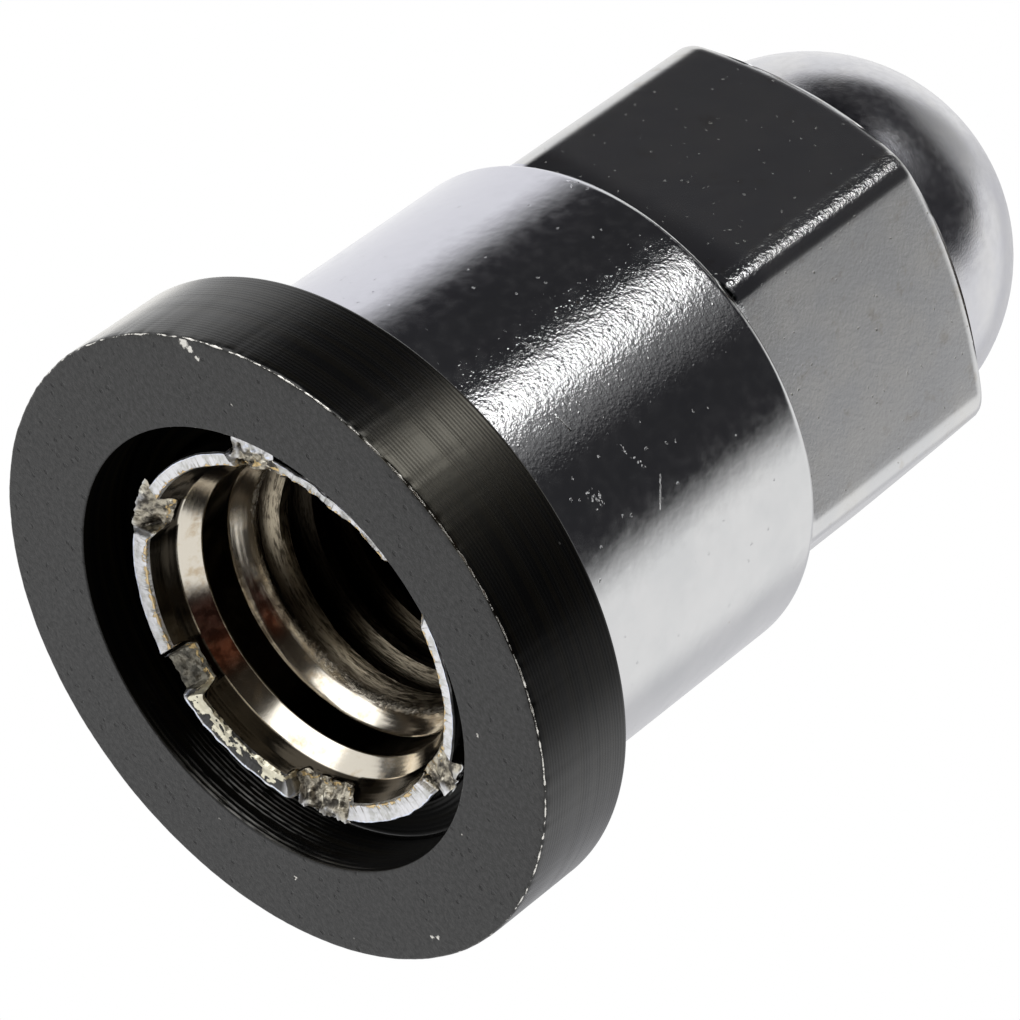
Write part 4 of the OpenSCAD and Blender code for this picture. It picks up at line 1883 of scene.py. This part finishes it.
    def tooth(self) -> list[Point]:
        """Returns the outline of one pitch of the thread, from the middle of a groove to the next."""
        major, minor = self.thread_d / 2, self.minor_r
        root, crest, flank = self.pitch / 16, self.pitch / 8, (major - minor) * math.tan(math.radians(30.0))
        climb = [(major, 0.0), (major, root)]
        climb += [(major + (minor - major) * k / 4, root + flank * k / 4) for k in range(1, 5)]
        middle = root + flank + crest
        fall = [(r, 2 * middle - z) for r, z in reversed(climb)]
        start = self.thread_sink_z - (2.0 - self.thread_phase) * self.pitch
        return [(r, start + z) for r, z in [*climb, (minor, middle), *fall]]

    def thread_shape(self, r: float, z: float) -> Point:
        """Opens the thread into the countersink and stops it at the hole's end.

        Args:
            r: radius of a point on the endless thread.
            z: its height.

        Returns:
            Its radius and height on the real one.
        """
        if z <= self.thread_sink_z + WELD:
            return self.sink_r(self.thread_sink_z), self.thread_sink_z
        if z >= self.thread_end_z:
            return self.minor_r, self.thread_end_z
        cut = smooth_step(*self.thread_fade, z - self.thread_sink_z)
        groove_r, cone_r = self.minor_r + (r - self.minor_r) * cut, self.sink_r(z)
        blend = self.thread_blend * smooth_step(0.2, 1.2, z - self.thread_sink_z)
        return (groove_r + cone_r + math.hypot(groove_r - cone_r, blend)) / 2, z

    def build(self, finishes: Mapping[Finish, bpy.types.Material]) -> bpy.types.Object:
        """Returns the shell, covered with the given finishes."""
        lathe = Lathe(self.steps, self.spread)
        lathe.turn(self.outer_rows())
        lathe.turn(self.bore_rows())
        tip_z = self.thread_end_z + self.minor_r / math.tan(math.radians(self.drill_point / 2))
        lathe.turn([level(self.minor_r, self.thread_end_z, Finish.BORE), level(0.0, tip_z, Finish.BORE)])
        turns = math.ceil(self.thread_l / self.pitch) + 2
        lathe.thread(self.tooth(), turns, self.pitch, self.thread_shape)
        piece = lathe.mesh("nut_shell", finishes)
        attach(piece, "nut")
        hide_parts("nut_body")
        return piece


@dataclass(frozen=True)
class CaptiveWasher:
    """The thick black ring, recessed on its seat face, with burred and chipped edges."""

    outer_r: float
    thickness: float
    hole_r: float = 9.1
    recess_r: float = 10.65
    recess_z: float = 2.95
    edge_r: float = 0.1
    battered_at: float = 175.0
    steps: int = 720

    def rows(self) -> list[Row]:
        """Returns the ring's rows, from the face's inner edge outwards and back through the recess."""
        corners = [
            Corner(self.recess_r, 0.0, 0.07, 0.75, Finish.FACE),
            Corner(self.recess_r + 0.35, 0.0, finish=Finish.FACE),
            Corner(self.outer_r - 0.45, 0.0, finish=Finish.FACE),
            Corner(self.outer_r, 0.0, self.edge_r, 1.0, Finish.SIDE),
            Corner(self.outer_r, 0.45, finish=Finish.SIDE),
            Corner(self.outer_r, self.thickness - 0.45, finish=Finish.SIDE),
            Corner(self.outer_r, self.thickness, 0.16, 0.55, Finish.SIDE),
            Corner(self.hole_r, self.thickness, 0.15, 0.3, Finish.RECESS),
            Corner(self.hole_r, self.recess_z, 0.15, 0.0, Finish.RECESS),
            Corner(self.recess_r, self.recess_z, 0.2, 0.0, Finish.RECESS),
        ]
        rows = rounded(corners, closed=True)
        return [Row(self.battered(row.place), row.finish, row.edge) for row in rows]

    def battered(self, plain: Callable[[float], Point]) -> Callable[[float], Point]:
        """Returns a row's place with the burr of its outer edge and its chips."""
        def place(azimuth: float) -> Point:
            """Returns the row's place at an azimuth."""
            r, z = plain(azimuth)
            turned = math.radians(azimuth)
            x, y = self.outer_r * math.cos(turned), self.outer_r * math.sin(turned)
            near_edge = smooth_step(0.25, 0.0, self.outer_r - r) * smooth_step(0.3, 0.0, z)
            near_edge *= smooth_step(110.0, 70.0, abs(turn_between(azimuth, self.battered_at))) * 0.85 + 0.15
            burr = near_edge * max(0.0, 0.05 + 0.06 * lump(x, y, 5.0, 0.9) + 0.05 * lump(x, y, 9.0, 0.3))
            return r - burr, z + burr * 0.6

        return place

    def build(self, finishes: Mapping[Finish, bpy.types.Material]) -> bpy.types.Object:
        """Returns the ring, covered with the given finishes."""
        lathe = Lathe(self.steps)
        lathe.turn(self.rows(), closed=True)
        piece = lathe.mesh("washer_ring", finishes)
        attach(piece, "washer")
        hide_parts("captive_washer")
        return piece


@dataclass(frozen=True)
class Gaze:
    """A direction into the studio, also as an azimuth and an elevation in degrees."""

    direction: Socket
    azimuth: Socket
    elevation: Socket


@dataclass(frozen=True)
class Panel:
    """A soft-edged patch of the studio round the nut, in degrees, and its radiance."""

    azimuth: float
    elevation: float
    half_width: float
    half_height: float
    edge: float
    light: Colour

    def mask(self, g: Graph, effects: Effects, gaze: Gaze) -> Socket:
        """Returns where the patch is seen."""
        return g.group(effects.panel, {
            "Azimuth": gaze.azimuth, "Elevation": gaze.elevation,
            "At Azimuth": self.azimuth, "At Elevation": self.elevation,
            "Half Width": self.half_width, "Half Height": self.half_height, "Edge": self.edge,
        }).outputs[0]


@dataclass(frozen=True)
class Disc:
    """A soft-edged round patch of the studio, in degrees, and its radiance."""

    azimuth: float
    elevation: float
    radius: float
    edge: float
    light: Colour

    def mask(self, g: Graph, effects: Effects, gaze: Gaze) -> Socket:
        """Returns where the patch is seen."""
        turned, lifted = math.radians(self.azimuth), math.radians(self.elevation)
        flat = math.cos(lifted)
        toward = (flat * math.cos(turned), flat * math.sin(turned), math.sin(lifted))
        values = {"Direction": gaze.direction, "Toward": toward, "Radius": self.radius, "Edge": self.edge}
        return g.group(effects.disc, values).outputs[0]


@dataclass(frozen=True)
class Studio:
    """The white room: a white sweep behind, a dark side towards the camera and two lamps in it."""

    effects: Effects
    sweep: Colour = (1.0, 1.0, 1.0)
    patches: tuple[Panel | Disc, ...] = (
        Panel(335.0, 37.0, 30.0, 40.0, 20.0, (0.7, 0.7, 0.72)),
        Disc(120.0, 86.0, 12.0, 16.0, (0.5, 0.5, 0.49)),
        Disc(190.0, -56.0, 42.0, 16.0, (0.07, 0.06, 0.048)),
        Panel(164.75, 33.0, 75.25, 43.0, 26.0, (0.028, 0.028, 0.031)),
        Panel(200.0, -12.0, 45.0, 28.0, 12.0, (0.026, 0.022, 0.018)),
        Panel(222.0, -21.0, 18.0, 7.0, 18.0, (0.036, 0.014, 0.011)),
        Panel(201.0, -25.0, 9.0, 5.0, 16.0, (0.11, 0.035, 0.018)),
        Panel(170.0, 22.0, 14.0, 22.0, 20.0, (0.26, 0.26, 0.265)),
        Panel(161.0, 20.75, 7.5, 18.75, 6.0, (2.7, 2.7, 2.7)),
        Panel(124.0, -18.0, 28.0, 16.0, 5.0, (2.2, 2.2, 2.2)),
    )

    def build(self) -> None:
        """Sets up the world: white to the camera, the studio to everything else."""
        world = bpy.data.worlds.new("studio")
        bpy.context.scene.world = world
        world.use_nodes = True
        world.node_tree.nodes.clear()
        g = Graph(world.node_tree)
        direction = g.add("ShaderNodeTexCoord").outputs["Generated"]
        x, y, z = g.split(direction)
        elevation = g.times(g.math("ARCSINE", z), HALF_TURN / math.pi)
        gaze = Gaze(direction, g.azimuth(x, y), elevation)
        light: Value = self.sweep
        for patch in self.patches:
            light = g.tint(patch.mask(g, self.effects, gaze), light, patch.light)
        room = g.add("ShaderNodeBackground", {"Color": light, "Strength": 1.0})
        white = g.add("ShaderNodeBackground", {"Color": (1.0, 1.0, 1.0, 1.0), "Strength": 1.0})
        seen = g.add("ShaderNodeLightPath").outputs["Is Camera Ray"]
        mixed = g.add("ShaderNodeMixShader", {0: seen, 1: room.outputs[0], 2: white.outputs[0]})
        g.add("ShaderNodeOutputWorld", {"Surface": mixed.outputs[0]})
        log.info("studio: %d patches", len(self.patches))


@dataclass(frozen=True)
class PaleFloor:
    """The table under the nut, seen only from above, because the photographed side is its face."""

    half_width: float = 600.0
    gap: float = 0.05
    colour: Colour = (0.9, 0.9, 0.9)

    def build(self) -> bpy.types.Object:
        """Returns the floor."""
        bm = bmesh.new()
        bmesh.ops.create_grid(bm, x_segments=1, y_segments=1, size=self.half_width * MM)
        bmesh.ops.translate(bm, vec=(0.0, 0.0, -self.gap * MM), verts=bm.verts)
        data = bpy.data.meshes.new("floor")
        bm.to_mesh(data)
        bm.free()
        floor = bpy.data.objects.new("floor", data)
        bpy.context.scene.collection.objects.link(floor)
        data.materials.append(self.material())
        for ray in ("diffuse", "glossy", "transmission", "shadow", "volume_scatter"):
            setattr(floor, f"visible_{ray}", False)
        return floor

    def material(self) -> bpy.types.Material:
        """Returns a pale matt finish that is clear from below."""
        material, g = new_material("pale_floor")
        matt = g.add("ShaderNodeBsdfDiffuse", {"Color": (*self.colour, 1.0)})
        clear = g.add("ShaderNodeBsdfTransparent")
        under = g.add("ShaderNodeNewGeometry").outputs["Backfacing"]
        mixed = g.add("ShaderNodeMixShader", {0: under, 1: matt.outputs[0], 2: clear.outputs[0]})
        g.add("ShaderNodeOutputMaterial", {"Surface": mixed.outputs[0]})
        return material


@dataclass(frozen=True)
class ProductCamera:
    """A long lens that looks up at the washer's face, turned so that the nut points to the upper right."""

    place: tuple[float, float, float] = (-200.453, -13.971, -137.318)
    target: tuple[float, float, float] = (0.076, -1.194, 14.581)
    lens: float = 205.48
    roll: float = 53.468
    sensor: float = 36.0
    clip: Point = (0.01, 10.0)

    def build(self) -> bpy.types.Object:
        """Returns the camera, which becomes the scene's own."""
        data = bpy.data.cameras.new("product_camera")
        data.lens, data.sensor_width = self.lens, self.sensor
        data.clip_start, data.clip_end = self.clip
        camera = bpy.data.objects.new("product_camera", data)
        bpy.context.scene.collection.objects.link(camera)
        aim = Vector(self.target) - Vector(self.place)
        turn = aim.to_track_quat("-Z", "Y").to_matrix() @ Matrix.Rotation(math.radians(self.roll), 3, "Z")
        camera.rotation_mode = "QUATERNION"
        camera.rotation_quaternion = turn.to_quaternion()
        camera.location = Vector(self.place) * MM
        bpy.context.scene.camera = camera
        log.info("camera up: %s", tuple(round(v, 3) for v in turn.col[1]))
        return camera


def make_finishes(effects: Effects) -> dict[Finish, bpy.types.Material]:
    """Builds every finish.

    Args:
        effects: the shared effects.

    Returns:
        The material of each finish.
    """
    kinds = (BarrelChrome, HexagonChrome, DomeChrome, BoreNickel, TornSteel, SeatFace, SideCoat, RecessCoat)
    surfaces = [kind(effects) for kind in kinds]
    return {surface.finish: surface.build() for surface in surfaces}


def main() -> None:
    """Builds the camera, the studio, the finishes and the pieces."""
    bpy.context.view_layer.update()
    bpy.context.scene.view_settings.view_transform = "Standard"
    ProductCamera().build()
    effects = Effects()
    Studio(effects).build()
    PaleFloor().build()
    finishes = make_finishes(effects)
    washer_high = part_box("captive_washer")[1] * PER_METRE
    nut_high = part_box("nut_body")[1] * PER_METRE
    CaptiveWasher(washer_high.x, washer_high.z).build(finishes)
    NutShell(nut_high.z, washer_high.z).build(finishes)
    StakedRim().build(finishes)


if __name__ == "__main__":
    logging.basicConfig(level=logging.INFO, format="%(message)s")
    main()
